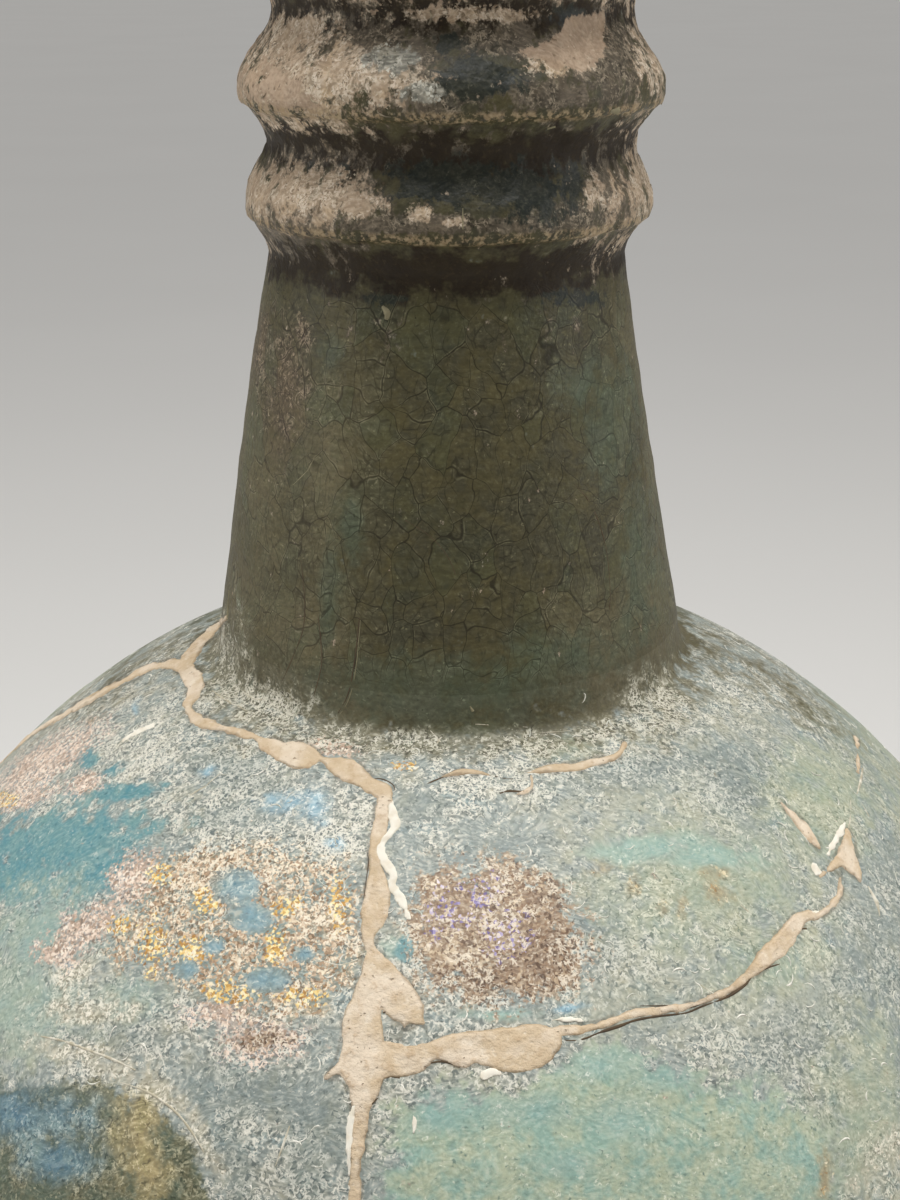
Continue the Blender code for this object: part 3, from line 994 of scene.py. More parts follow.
# Crumbs of film: the mark they follow, how much they cover, how soft their borders are, and their colours
CRUMBS = [
    ("gold", 0.60, 0.14, ("68543E", "93775A", "C0A284", "E2CDB0", "F8ECD2")),
    ("pink", 0.58, 0.14, ("75695C", "A8907C", "D0B49E", "EEDCCA", "FAF0E0")),
    ("band", 0.10, 0.14, ("948C7A", "B5AD98", "D2C9B4", "EAE2CE", "F6F0E0")),
    ("violet", 0.52, 0.24, ("594434", "84684F", "AC9276", "D8C4A6", "F6E8D2")),
    ("crust", 0.10, 0.14, ("6A5B48", "8F7A62", "B39B82", "CDBAA0", "EEDFC8")),
    ("silver_crust", 0.22, 0.10, ("4A4C44", "84847A", "AAA99E", "CCCABE", "ECEADE")),
    ("gold_flakes", 0.60, 0.08, ("8A6236", "C08F48", "E4BB66", "F6E09C", "FFF4CE")),
    ("violet_flakes", 0.28, 0.08, ("5A4C70", "7C70A6", "9C92C2", "CABCD4", "F0E6EA")),
    ("rust", 0.10, 0.08, ("7E6444", "A4865A", "C2A67A", "DACBA4", "EEE2C8")),
]

# Each kind of border: the noise that pushes it, how far, and how soft it is
BORDERS = {
    "cloud": ("ragged", 1.7, 0.2),
    "speck": ("crumbly", 2.6, 0.12),
    "drip": ("drip", 2.2, 0.14),
    "soft": ("ragged", 1.9, 0.44),
}

# The body's finish leaves out what only the rings have, and the neck's what only the body has
RING_LAYERS = ("shaded_groove", "ring_dust", "dark_teal", "crust", "silver_crust", "bare")
NECK_LAYERS = ("olive_and_shade", "neck_warm", "neck_green", "purple", "pale_low") + RING_LAYERS
BODY_ROWS = [row for row in LAYERS if row[0] not in RING_LAYERS]
BODY_CRUMBS = [row for row in CRUMBS if row[0] not in RING_LAYERS]
NECK_ROWS = [row for row in LAYERS if row[0] in NECK_LAYERS]
NECK_CRUMBS = [row for row in CRUMBS if row[0] in RING_LAYERS]

# Fine marks in the glaze, in millimetres
CRAZE_CELL = 5.8
FINE_CRAZE_CELL = 2.7
FIBRE_SIZE = 0.62
CRUMB_SIZE = 0.52

# Curling strokes: size of their noise, its shift from the others in metres, and how wide a line it draws
STROKES = [(1.05, 0.011, 0.075), (1.5, 0.023, 0.07), (0.85, 0.037, 0.08)]


def grain_noises(f):
    """The noises that the glaze's borders, mottling and grain share."""
    noises = {
        "cloud": f.noise(13.0, 3.0, 0.6),
        "ragged": f.noise(4.5, 3.0, 0.65),
        "speck": f.noise(1.0, 2.0, 0.6),
        "drip": f.noise(3.0, 4.0, 0.7, f.squeezed(1.0, 1.0, 0.72)),
    }
    noises["crumbly"] = f.average(noises["speck"], noises["ragged"])
    return noises


def layered_glaze(f, layers, noises):
    """The layers one over the other: colour, pale and dark strokes, how many strokes, and roughness."""
    mottle = f.maths("MULTIPLY_ADD", noises["ragged"], 0.6, f.maths("MULTIPLY", noises["cloud"], 0.5))
    mottle = f.rise(mottle, 0.44, 0.66)
    pushes = {border: f.swing(noises[noise], reach, -0.5) for border, (noise, reach, _) in BORDERS.items()}
    first, second, pale, dark, amount, rough = GREY_FILM
    colour = f.mix(mottle, first, second)
    data = (amount, rough, 0.0, 1.0)
    for name, first, second, pale_tint, dark_tint, amount, rough, border in layers:
        soft = BORDERS[border][2]
        mask = f.rise(f.maths("ADD", f.mark(name), pushes[border]), -soft, soft)
        if border == "soft":
            mask = f.maths("MULTIPLY", mask, f.rise(f.mark(name), 0.04, 0.34))
        colour = f.mix(mask, colour, f.mix(mottle, first, second))
        pale = f.mix(mask, pale, pale_tint)
        dark = f.mix(mask, dark, dark_tint)
        data = f.mix(mask, data, (amount, rough, 0.0, 1.0))
    amount, rough, _ = f.parts(data)
    return colour, pale, dark, amount, rough


def crumbs_over(f, colour, crumbs, noises, curled, line):
    """Crumbs of iridescent film on the body, and of crust on the rings."""
    ragged = noises["ragged"]
    own_tone, own_share, _ = f.parts(f.cells(CRUMB_SIZE, curled)["Color"])
    clumps = f.maths("MULTIPLY_ADD", line, 0.8, f.maths("MULTIPLY_ADD", ragged, 1.5, -0.65))
    holes = f.rise(f.mark("hole"), 0.25, 0.6)
    tone = f.maths("MULTIPLY_ADD", ragged, 0.5, f.maths("MULTIPLY_ADD", own_tone, 0.8, -0.15))
    tone = f.maths("MULTIPLY_ADD", f.rise(f.mark("umber"), 0.2, 0.8), -0.3, tone)
    tone = f.swing(noises["speck"], 0.5, tone)
    for mark, cover, soft, tints in crumbs:
        thick = f.maths("MULTIPLY", f.rise(f.mark(mark), 0.3, 0.75), cover)
        thick = f.maths("ADD", clumps, f.maths("MULTIPLY_ADD", holes, -1.3, thick))
        shown = f.rise(f.maths("SUBTRACT", thick, own_share), 0.5 - soft, 0.5 + soft)
        near = f.rise(f.maths("MULTIPLY_ADD", ragged, 0.35, f.mark(mark)), 0.42, 0.62)
        colour = f.laid(colour, f.ramp(tone, *tints), f.maths("MULTIPLY", shown, near), 0.92)
    return colour


def crazed(f, colour, pale, dark, noises):
    """A colour with the neck's craze net: cells of slightly different tone, thin dark lines and painted
    highlights beside them.
    """
    drifted = f.vector("SUBTRACT", f.warped(16.0, 9.0), f.place)
    net = f.warped(5.0, 0.9, f.vector("ADD", f.squeezed(1.0, 1.0, 0.66), drifted))
    amount = f.mark("craze")
    own_green, own_light, _ = f.parts(f.cells(CRAZE_CELL, net)["Color"])
    greener = f.tinted(colour, (0.90, 1.06, 1.10))
    colour = f.laid(colour, greener, f.rise(own_green, 0.45, 0.95, 0.0, 0.55), amount)
    duller = f.tinted(colour, (0.93, 0.93, 0.92))
    lighter = f.tinted(colour, (1.10, 1.09, 1.06))
    colour = f.laid(duller, lighter, f.rise(own_light, 0.1, 0.9, 0.0, 0.8), amount)
    thrown = f.rise(f.noise(0.9, 1.0, 0.6, f.squeezed(0.16, 0.16, 1.0)), 0.35, 0.65)
    duller = f.tinted(colour, (0.92, 0.92, 0.92))
    lighter = f.tinted(colour, (1.09, 1.09, 1.08))
    colour = f.laid(duller, lighter, thrown, amount)

    gap = f.cells(CRAZE_CELL, net, "DISTANCE_TO_EDGE")["Distance"]
    fine_gap = f.cells(FINE_CRAZE_CELL, net, "DISTANCE_TO_EDGE")["Distance"]
    across = f.maths("DIVIDE", gap, f.rise(noises["cloud"], 0.35, 0.65, 0.013, 0.027))
    ragged = noises["ragged"]
    fine_line = f.maths("MULTIPLY", f.rise(fine_gap, 0.01, 0.05, 0.5, 0.0), f.rise(ragged, 0.40, 0.54))
    line = f.maths("MAXIMUM", f.rise(across, 0.2, 1.0, 0.74, 0.0), fine_line)
    # A pale painted highlight along each side of the wider craze lines
    beside = f.maths("ABSOLUTE", f.maths("SUBTRACT", across, 1.5))
    lip = f.maths("MULTIPLY", f.rise(beside, 0.2, 0.8, 1.0, 0.0), f.rise(ragged, 0.50, 0.62, 0.0, 0.45))
    colour = f.laid(colour, pale, lip, amount)
    return f.laid(colour, f.tinted(dark, (0.72, 0.68, 0.66)), line, amount)


def glaze_finish(name, layers, crumbs, on_neck):
    """Weathered alkaline glaze: a silvery grey film, with turquoise, iridescent, crusted and bare places."""
    f = Finish(name)
    noises = grain_noises(f)
    ragged = noises["ragged"]
    speck = noises["speck"]
    colour, pale, dark, amount, rough = layered_glaze(f, layers, noises)

    # Warm and cool drifts, and a fine grain
    drift = f.noise(5.5, 2.0, 0.6, f.vector("ADD", f.place, (0.31, 0.17, 0.23)))
    thinning = f.rise(f.maths("MULTIPLY_ADD", drift, -0.5, noises["cloud"]), 0.12, 0.38, 0.62, 1.12)
    amount = f.maths("MULTIPLY", amount, thinning)
    strength = f.maths("MULTIPLY", amount, 0.9)
    colour = f.laid(colour, f.tinted(colour, (1.10, 1.0, 0.80)), f.rise(drift, 0.54, 0.70), strength)
    cooler = f.tinted(colour, (0.80, 0.96, 1.06))
    colour = f.laid(colour, cooler, f.rise(drift, 0.30, 0.46, 1.0, 0.0), strength)
    colour = f.mix(f.rise(speck, 0.25, 0.48, 0.36, 0.0), colour, dark)
    colour = f.mix(f.rise(speck, 0.54, 0.75, 0.0, 0.30), colour, pale)

    # Fine fibres of flaked film that follow swirls
    swirl = f.vector("MULTIPLY", f.warped(16.0, 14.0), (0.42, 1.0, 0.8))
    fibre = f.noise(FIBRE_SIZE, 1.0, 0.6, swirl)
    colour = f.laid(colour, dark, f.rise(fibre, 0.36, 0.54, 0.9, 0.0), amount)
    colour = f.laid(colour, pale, f.rise(fibre, 0.52, 0.70, 0.0, 0.8), amount)

    # Curling strokes: three lines of noise, each broken where the next one is low
    curled = f.warped(1.2, 0.9)
    lines = [f.noise(size, 1.0, 0.5, f.vector("ADD", curled, (shift, -0.7 * shift, 1.3 * shift)))
             for size, shift, _ in STROKES]
    grain = f.maths("MULTIPLY_ADD", ragged, 0.3, f.maths("MULTIPLY", f.mark("silver"), 0.12))
    grain = f.maths("MULTIPLY_ADD", amount, 0.5, grain)
    strokes = []
    for i, (_, _, width) in enumerate(STROKES):
        shown = f.rise(f.maths("ADD", lines[i - 1], grain), 0.92, 1.06)
        strokes.append(f.maths("MULTIPLY", f.ridge(lines[i], width), shown))
    colour = f.laid(colour, dark, strokes[1], 0.85)
    colour = crumbs_over(f, colour, crumbs, noises, curled, lines[1])
    colour = f.laid(colour, pale, strokes[0], 0.8)
    colour = f.laid(colour, pale, strokes[2], 0.9)

    # The craze net, dark grime and painted shade along the fillers, and pale wear on the rings' lower edges
    if on_neck:
        colour = crazed(f, colour, pale, dark, noises)
    # A dark halo round the fillers: grime, and painted shade where the filler meets the glaze
    grime_and_shade = f.maths("MULTIPLY", f.rise(f.mark("filler_gap"), 0.1, 0.7, 1.0, 0.0), f.rise(ragged, 0.42, 0.58))
    colour = f.laid(colour, "5B5446", grime_and_shade, 0.55)
    if on_neck:
        flecks = f.rise(f.average(speck, noises["drip"]), 0.46, 0.56)
        edge = f.maths("MULTIPLY", f.rise(f.mark("ring_edge"), 0.3, 0.8), flecks)
        colour = f.laid(colour, f.ramp(speck, "6E5E45", "A08A68", "D8C6A6"), edge, 0.75)
    f.bump(lines[0], 0.5)
    f.shader.inputs["Specular IOR Level"].default_value = NECK_GLOSS if on_neck else BODY_GLOSS
    return f.finish(colour, f.swing(speck, 0.4, rough))


def filler_finish():
    """Matt tan filler, toned by hand, with a few small pits painted dark as shade in them, knife marks and a
    darker rim.
    """
    f = Finish("tan_filler")
    cloud = f.noise(9.0, 3.0, 0.6)
    ragged = f.noise(2.6, 4.0, 0.7)
    colour = f.mix(f.rise(cloud, 0.40, 0.60), "D0BA9B", "E0CFB8")
    colour = f.mix(f.rise(ragged, 0.50, 0.70, 0.0, 0.6), colour, "B89C7A")
    colour = f.mix(f.rise(ragged, 0.30, 0.46, 0.55, 0.0), colour, "ECDFCB")
    stain = f.rise(f.noise(14.0, 2.0, 0.6, f.squeezed(1.0, 1.0, 1.4)), 0.54, 0.66, 0.0, 0.5)
    colour = f.mix(stain, colour, f.tinted(colour, (0.86, 0.84, 0.80)))
    # Darker towards the filler's rim
    rim = f.rise(f.swing(ragged, 1.6, f.mark("inside")), 0.0, 0.55, 1.0, 0.0)
    colour = f.laid(colour, "8A7458", rim, 0.6)
    # Painted shade in the small pits
    pits = f.maths("MULTIPLY", f.rise(f.noise(0.9, 1.0, 0.5), 0.70, 0.76), f.rise(cloud, 0.46, 0.56))
    colour = f.laid(colour, "7E6549", pits, 0.6)
    drag = f.noise(1.0, 2.0, 0.65, f.squeezed(0.4, 0.4, 1.0))
    f.bump(f.maths("MULTIPLY_ADD", pits, -0.8, f.maths("MULTIPLY_ADD", ragged, 2.2, drag)), 0.8)
    return f.finish(colour, 0.9)


def plain_finish(name, first, second, roughness):
    """Two colours that run into each other."""
    f = Finish(name)
    colour = f.mix(f.rise(f.noise(2.5, 2.0), 0.4, 0.7), first, second)
    return f.finish(colour, roughness)


def flake_finish():
    """Loose film: cream and silver on the shoulder, dull tan on the neck and the rings."""
    f = Finish("loose_flakes")
    shade = f.rise(f.noise(2.0, 2.0, 0.7), 0.36, 0.64)
    split = f.nodes.new("ShaderNodeSeparateXYZ")
    f.links.new(f.place, split.inputs[0])
    on_neck = f.rise(split.outputs["Z"], (NECK_FINISH_FROM - 8.0) * MM, (NECK_FINISH_FROM + 14.0) * MM)
    colour = f.mix(on_neck, f.mix(shade, "BFC0B2", "F2EEE2"), f.mix(shade, "6E634E", "B5A68A"))
    return f.finish(colour, 0.55)


# Where each finish shows in the photo: pixels across and down, half-sizes, and any clockwise turn in degrees

PHOTO_SPOTS = {
    "slate": [(500, 852, 56, 13, -8), (420, 806, 26, 16), (595, 935, 26, 46), (640, 770, 70, 14, -12),
              (250, 1090, 60, 30), (320, 1140, 34, 50), (225, 1150, 20, 60, -20), (880, 1010, 50, 110),
              (760, 790, 60, 40, 30), (850, 1090, 50, 60), (800, 1040, 50, 30), (100, 1030, 60, 14, 10),
              (230, 815, 40, 16), (236, 768, 46, 24)],
    "umber": [(556, 950, 34, 44), (500, 990, 50, 20), (262, 1040, 44, 12), (560, 895, 20, 20)],
    "green": [(700, 885, 90, 50), (820, 800, 50, 50), (770, 960, 55, 28, -20), (20, 1010, 45, 45),
              (860, 1120, 50, 90), (560, 745, 40, 12)],
    "pale_teal": [(440, 1115, 28, 18), (520, 1110, 62, 14), (600, 1066, 34, 14), (665, 1078, 34, 9, 5),
                  (500, 1014, 42, 6), (650, 848, 50, 11, -6), (715, 856, 44, 11, 4), (395, 948, 13, 10),
                  (560, 1165, 30, 10, 10), (620, 1120, 30, 20)],
    "teal": [(62, 842, 84, 34, -8), (95, 872, 55, 32, -25), (20, 880, 45, 32), (88, 757, 10, 12),
             (65, 756, 8, 5), (112, 770, 14, 5, -20), (120, 792, 45, 8, -5), (404, 948, 10, 12)],
    "hole": [(236, 886, 20, 15), (250, 918, 20, 12, 10), (268, 980, 20, 10), (214, 946, 10, 7),
             (186, 970, 11, 8), (304, 955, 9, 7)],
    "soft_film": [(700, 850, 120, 110), (640, 1000, 90, 40, -10), (800, 1000, 90, 90)],
    "low_teal": [(45, 930, 60, 40, -15), (30, 1000, 60, 40), (120, 1000, 40, 20)],
    "deep_blue": [(30, 1118, 60, 24), (60, 1158, 40, 20)],
    "streak": [(138, 1128, 22, 42, 4), (152, 1172, 16, 26)],
    "band": [(70, 1050, 40, 10, 12), (122, 1070, 34, 11, 24), (165, 1096, 28, 10, 40),
             (195, 1126, 24, 9, 55), (215, 1160, 22, 8, 70), (75, 972, 28, 16), (90, 1010, 40, 14)],
    "blue": [(314, 806, 14, 16), (335, 842, 9, 7), (284, 803, 20, 8), (207, 772, 8, 5, -20),
             (564, 1008, 18, 4, -5), (327, 752, 5, 4), (136, 706, 3, 8, 10)],
    "pink": [(48, 760, 62, 17, -33), (25, 796, 30, 11, -18), (85, 783, 18, 10, -20), (90, 925, 40, 20, -30),
             (135, 880, 30, 24, -50), (262, 1040, 40, 20), (60, 955, 24, 12), (222, 1012, 40, 12),
             (335, 748, 28, 9, 5)],
    "violet": [(262, 1040, 26, 9)],
    "rust": [(718, 893, 15, 8), (633, 884, 7, 12), (682, 905, 6, 11), (664, 908, 5, 6), (600, 868, 14, 6),
             (715, 872, 14, 5), (826, 1176, 7, 26)],
    "silver": [(262, 822, 45, 28), (318, 842, 34, 20), (238, 775, 30, 20), (640, 930, 34, 34),
               (725, 1045, 44, 18, 10), (480, 778, 60, 12), (700, 790, 60, 30, 20),
               (150, 745, 40, 14, -30)],
    "neck_green": [(578, 385, 22, 18), (612, 420, 24, 50), (640, 560, 14, 70), (565, 655, 52, 20),
                   (330, 590, 9, 40, 5), (352, 535, 11, 30), (500, 690, 26, 18), (330, 352, 10, 15),
                   (470, 735, 40, 10), (440, 690, 110, 30)],
    "purple": [(285, 395, 18, 56, 4), (262, 345, 10, 30, 10), (302, 332, 12, 14)],
    "pale_low": [(228, 655, 16, 42, 4), (262, 705, 48, 24, 18), (318, 730, 50, 12, 8),
                 (655, 700, 34, 26, -22), (600, 728, 40, 12, -8), (440, 744, 170, 12)],
    # Lighter, warmer neck glaze, mostly painted sheen along the neck's left and right sides
    "neck_warm": [(262, 470, 30, 130, 3), (245, 600, 24, 90, 4), (300, 640, 50, 60), (330, 460, 40, 110),
                  (655, 610, 30, 90, -8), (600, 650, 50, 50), (360, 700, 60, 24)],
    "ring_dust": [(600, 60, 60, 45), (555, 92, 50, 16), (612, 195, 38, 40), (420, 84, 70, 34),
                  (340, 50, 120, 40), (300, 200, 90, 44), (560, 214, 60, 18), (420, 220, 60, 8),
                  (500, 40, 60, 20), (430, 225, 240, 9)],
    "dark_teal": [(450, 184, 70, 22), (520, 192, 50, 26), (575, 185, 10, 20), (311, 172, 7, 13),
                  (385, 300, 26, 6), (575, 298, 34, 7), (470, 76, 50, 20), (575, 16, 30, 12),
                  (450, 44, 14, 12), (344, 172, 8, 10)],
    "crust": [(300, 194, 60, 27), (258, 190, 13, 24), (352, 204, 24, 16), (420, 212, 12, 8, 5),
              (454, 222, 12, 4), (302, 80, 82, 38), (300, 34, 40, 17), (470, 14, 60, 7), (385, 78, 40, 24),
              (592, 194, 7, 18), (635, 186, 8, 16), (560, 62, 30, 12)],
    "silver_crust": [(392, 60, 24, 14), (420, 92, 20, 9)],
    "bare": [(270, 82, 30, 22), (290, 102, 34, 10)],
    "gold_flakes": [(204, 905, 14, 16), (153, 945, 13, 26, 10), (288, 905, 22, 9, -20), (275, 942, 10, 24),
                    (232, 992, 30, 12), (305, 996, 26, 10), (160, 874, 12, 12), (340, 905, 10, 30),
                    (120, 925, 14, 10), (195, 950, 20, 14), (404, 765, 14, 5), (5, 800, 14, 8)],
    "violet_flakes": [(470, 900, 30, 26), (505, 936, 22, 26), (436, 915, 12, 22)],
}
# Larger areas with a shape of their own: softness in millimetres, corners in pixels across and down
PHOTO_AREAS = {
    "clear": (6.0, [(398, 1112), (420, 1094), (480, 1096), (540, 1084), (570, 1058), (610, 1046),
                    (650, 1060), (700, 1076), (760, 1090), (812, 1112), (836, 1150), (842, 1240),
                    (380, 1240), (388, 1150)]),
    "gold": (5.0, [(108, 935), (128, 905), (150, 868), (200, 848), (262, 842), (335, 858), (360, 885),
                   (362, 940), (347, 990), (300, 1015), (240, 1015), (190, 992), (150, 968), (110, 965)]),
    "violet": (6.6, [(414, 884), (432, 866), (476, 870), (510, 862), (548, 878), (566, 905), (588, 940),
                     (582, 985), (545, 1000), (500, 1008), (450, 996), (424, 988), (420, 950), (410, 920)]),
    "deep": (3.0, [(-60, 1085), (30, 1088), (70, 1080), (110, 1086), (150, 1102), (180, 1127), (204, 1165),
                   (216, 1240), (-60, 1240)]),
    "bare": (1.2, [(520, 50), (538, 44), (556, 40), (566, 22), (580, 12), (596, 10), (606, 18), (606, 50),
                   (596, 64), (575, 72), (552, 66), (535, 60)]),
}
# The same on the sides that the photo doesn't show: azimuth, height, half-sizes in millimetres
HIDDEN_PATCHES = {
    "slate": [(90, 236, 60, 18), (-112, 210, 50, 30), (180, 190, 70, 26), (130, 90, 60, 30),
              (-70, 90, 60, 30)],
    "green": [(95, 225, 34, 26), (-125, 235, 40, 24), (170, 150, 60, 30), (20, 90, 60, 26)],
    "clear": [(150, 195, 60, 36), (-95, 165, 48, 30), (60, 150, 56, 34), (-5, 120, 80, 46),
              (-160, 110, 60, 40)],
    "pale_teal": [(10, 140, 30, 14), (140, 205, 30, 20), (-100, 160, 24, 14), (-170, 170, 40, 20)],
    "teal": [(118, 216, 26, 14), (-150, 226, 34, 18), (-70, 140, 24, 14)],
    "band": [(-75, 195, 60, 6), (60, 205, 40, 5), (150, 232, 50, 5)],
    "pink": [(172, 238, 30, 9), (-118, 204, 22, 8)],
    "dark_teal": [(150, 372, 22, 6), (-140, 398, 24, 7), (60, 414, 30, 5), (-30, 417, 22, 5),
                  (180, 420, 40, 6)],
    "ring_dust": [(110, 372, 30, 7), (-110, 392, 50, 7), (180, 396, 60, 8), (90, 418, 60, 8),
                  (-90, 420, 60, 8), (0, 442, 60, 7), (150, 442, 60, 8), (-140, 442, 60, 8)],
    "crust": [(100, 373, 26, 8), (-120, 373, 30, 9), (170, 396, 32, 9), (105, 396, 22, 9),
              (-80, 418, 36, 9), (20, 418, 32, 7), (120, 418, 32, 8), (-170, 440, 36, 9), (-40, 446, 32, 7),
              (60, 448, 32, 7)],
    "bare": [(-100, 394, 20, 8), (-10, 420, 18, 7), (140, 422, 20, 8)],
    "purple": [(120, 330, 16, 30), (-150, 310, 18, 26)],
    # Painted sheen on the neck's sides as seen from the front, with warmer tone
    "neck_warm": [(95, 320, 20, 60), (-95, 320, 20, 60), (150, 300, 30, 30)],
    "neck_green": [(120, 310, 18, 40), (170, 330, 16, 36), (-120, 300, 16, 40)],
}

# Where the glaze is too smooth to flake
SMOOTH_LAYERS = ("clear", "pale_teal", "teal", "low_teal", "deep", "deep_blue", "hole")

# Dark lines along breaks, which also stand for painted shadow under the steps between sherds, and on the
# neck;
# dull marks on the neck, and pale edges of cracks and film: pixels across and down, width in pixels
DARK_LINES_AND_SHADOWS_PX = [
    [(556, 1038, 1), (570, 1041, 1.8), (585, 1039, 2.1), (600, 1032, 3.1), (620, 1026, 4.2),
     (632, 1021, 3.7), (645, 1018, 3.7), (660, 1016, 2.6), (680, 1014, 2.6), (690, 1012, 2.6),
     (700, 1007, 2.6), (712, 1003, 2.6), (725, 998, 3.7), (737, 991, 4.2), (745, 985, 3.7), (753, 976, 2.6),
     (760, 971, 3.1), (770, 967, 2.6), (780, 964, 1)],
    [(640, 1006, 1), (655, 1006, 2.1), (670, 1006, 3.1), (690, 1008, 3.7), (704, 1002, 2.1)],
    [(430, 1063, 1.6), (440, 1061, 3.7), (450, 1062, 3.1), (460, 1067, 1.6)],
    [(424, 785, 1), (436, 780, 2.6), (444, 777, 2.1), (455, 770, 1)],
    [(495, 776, 1.6), (503, 778, 2.1), (513, 779, 1)],
    [(500, 793, 2.1), (508, 791, 4.2), (522, 792, 2.6)],
    [(350, 775, 0.8), (357, 782, 1.6), (366, 782, 1.4), (377, 778, 1.4), (386, 780, 1.7), (394, 785, 1.9),
     (395, 790, 0.8)],
    [(383, 1013, 1.6), (388, 1010, 3.7), (394, 1014, 2.6), (397, 1018, 1.6)],
    [(830, 868, 2.1), (834, 868, 3.1), (841, 865, 2.6), (848, 866, 3.1), (852, 870, 1.6)],
    [(800, 929, 2.6), (806, 929, 2.6)],
    [(367, 852, 1), (369, 862, 1.8), (366, 880, 1.3), (364, 896, 1.2)],
    [(384, 806, 2.6), (386, 812, 2.1), (385, 818, 1.6)],
    [(378, 838, 3.1), (382, 834, 2.6), (384, 828, 1)],
    [(381, 1075, 1.6), (388, 1076, 2.6), (400, 1078, 1.6)],
    [(367, 1110, 2.1), (372, 1104, 2.6), (378, 1098, 1.6)],
    [(300, 560, 0.8), (304, 600, 1.3), (303, 628, 1.6), (297, 645, 1.3), (290, 662, 1.6), (281, 681, 1)],
    [(317, 615, 1), (320, 640, 1.6), (322, 662, 1.3), (318, 680, 1.6), (313, 696, 1)],
    [(359, 618, 1), (357, 640, 1.8), (354, 665, 1.8), (350, 688, 1.6), (345, 702, 1.6), (337, 714, 1)],
    [(462, 600, 0.8), (452, 560, 1), (430, 535, 1), (405, 520, 0.8)],
    [(560, 470, 0.8), (590, 500, 1.3), (606, 540, 1.3), (612, 590, 1), (610, 640, 1)],
]
NECK_LINES_PX = [
    [(360, 620, 0.8), (358, 645, 1), (356, 668, 1.1), (352, 690, 1.2), (347, 704, 1.3), (339, 716, 1.3),
     (326, 720, 1.2), (313, 721, 0.9)],
    [(463, 208, 1), (463, 222, 2.2), (463, 236, 1.2)],
    [(382, 306, 3), (388, 313, 12), (386, 320, 5)],
    [(292, 485, 0.8), (308, 470, 1.4), (315, 455, 0.8)],
    [(228, 590, 3), (226, 620, 4)],
    [(470, 706, 2), (473, 711, 6)],
    [(548, 130, 3), (556, 128, 5)],
    [(610, 112, 4), (618, 112, 8)],
]
PALE_LINES_PX = [
    [(40, 1036, 1.5), (62, 1040, 4), (85, 1049, 3), (110, 1058, 4), (135, 1070, 1.5)],
    [(120, 1082, 1.5), (150, 1092, 3), (178, 1112, 3.5), (196, 1136, 3), (210, 1162, 1.5)],
    [(212, 690, 1.26), (222, 697, 2.1), (235, 704, 1.68), (246, 710, 0.84)],
    [(240, 689, 1.68), (247, 695, 3.36), (256, 699, 2.94), (264, 700, 1.26)],
    [(470, 724, 0.84), (490, 725, 1.26), (512, 726, 1.26), (528, 727, 0.84)],
    [(540, 732, 0.84), (565, 731, 1.26), (590, 726, 1.26), (604, 722, 0.84)],
    [(430, 730, 0.84), (437, 738, 2.52), (441, 742, 1.68)],
    [(437, 744, 1.68), (440, 738, 2.52), (444, 736, 1.26)],
    [(322, 960, 0.84), (340, 966, 2.1), (358, 959, 2.1)],
    [(276, 1166, 0.84), (283, 1148, 3.36), (290, 1126, 1.68)],
    [(188, 797, 1.26), (197, 791, 3.36), (206, 786, 1.26)],
    [(204, 788, 0.84), (213, 779, 2.1), (222, 772, 0.84)],
    [(868, 886, 1.68), (873, 895, 5.88), (878, 905, 6.72), (880, 916, 1.68)],
    [(851, 800, 1.26), (852, 814, 2.1), (849, 828, 1.68)],
    [(863, 768, 3.36), (861, 782, 5.04), (857, 794, 1.26)],
    [(862, 802, 0.84), (870, 816, 2.1)],
    [(740, 905, 1.26), (748, 912, 2.1)],
    [(700, 985, 1.26), (716, 996, 1.68), (728, 997, 2.1)],
]


def finish_marks(points):
    """Where each finish shows, as soft marks that are 0.5 on their borders."""
    view = photo_view(points)
    height = points[:, 2]
    marks = {}
    for name in sorted(set(PHOTO_SPOTS) | set(HIDDEN_PATCHES) | set(PHOTO_AREAS)):
        found = [np.zeros(len(points))]
        found += [spot(view, *place) for place in PHOTO_SPOTS.get(name, [])]
        found += [patch(points, *place) for place in HIDDEN_PATCHES.get(name, [])]
        if name in PHOTO_AREAS:
            soft, outline = PHOTO_AREAS[name]
            area = np.clip(0.5 - area_gap(view, outline) / (2 * soft), 0.0, 1.0)
            found.append(area * rise(view[:, 3], 0, 0.1))
        marks[name] = np.max(found, axis=0)
    # The neck's olive glaze with its painted shade, over the whole neck
    marks["olive_and_shade"] = rise(height + 1.5 * layered_noise(points, 9.0, 91), 262.0, 272.0)
    marks["craze"] = rise(height, NECK_FINISH_FROM - 1.0, NECK_FINISH_FROM + 6.0)
    marks["craze"] *= 1 - rise(height, WAISTS[0][0] - 7.0, WAISTS[0][0] + 1.0)
    # Painted shade in the grooves between the rings, darkest at their middles
    grooves = [1.0 - 0.5 * np.abs(height - at) / reach for at, reach in GROOVES]
    marks["shaded_groove"] = np.clip(np.max(grooves, axis=0), 0.0, 1.0)
    edges = [1.0 - np.abs(height - at) / RING_EDGE_REACH for at in RING_EDGES]
    marks["ring_edge"] = np.clip(np.max(edges, axis=0), 0.0, 1.0)
    marks["filler_gap"] = np.clip(np.minimum(seam_gap(points), crack_gap(points)), -3.0, 12.0)
    marks["flakes"] = flake_mark(points, marks)
    return marks


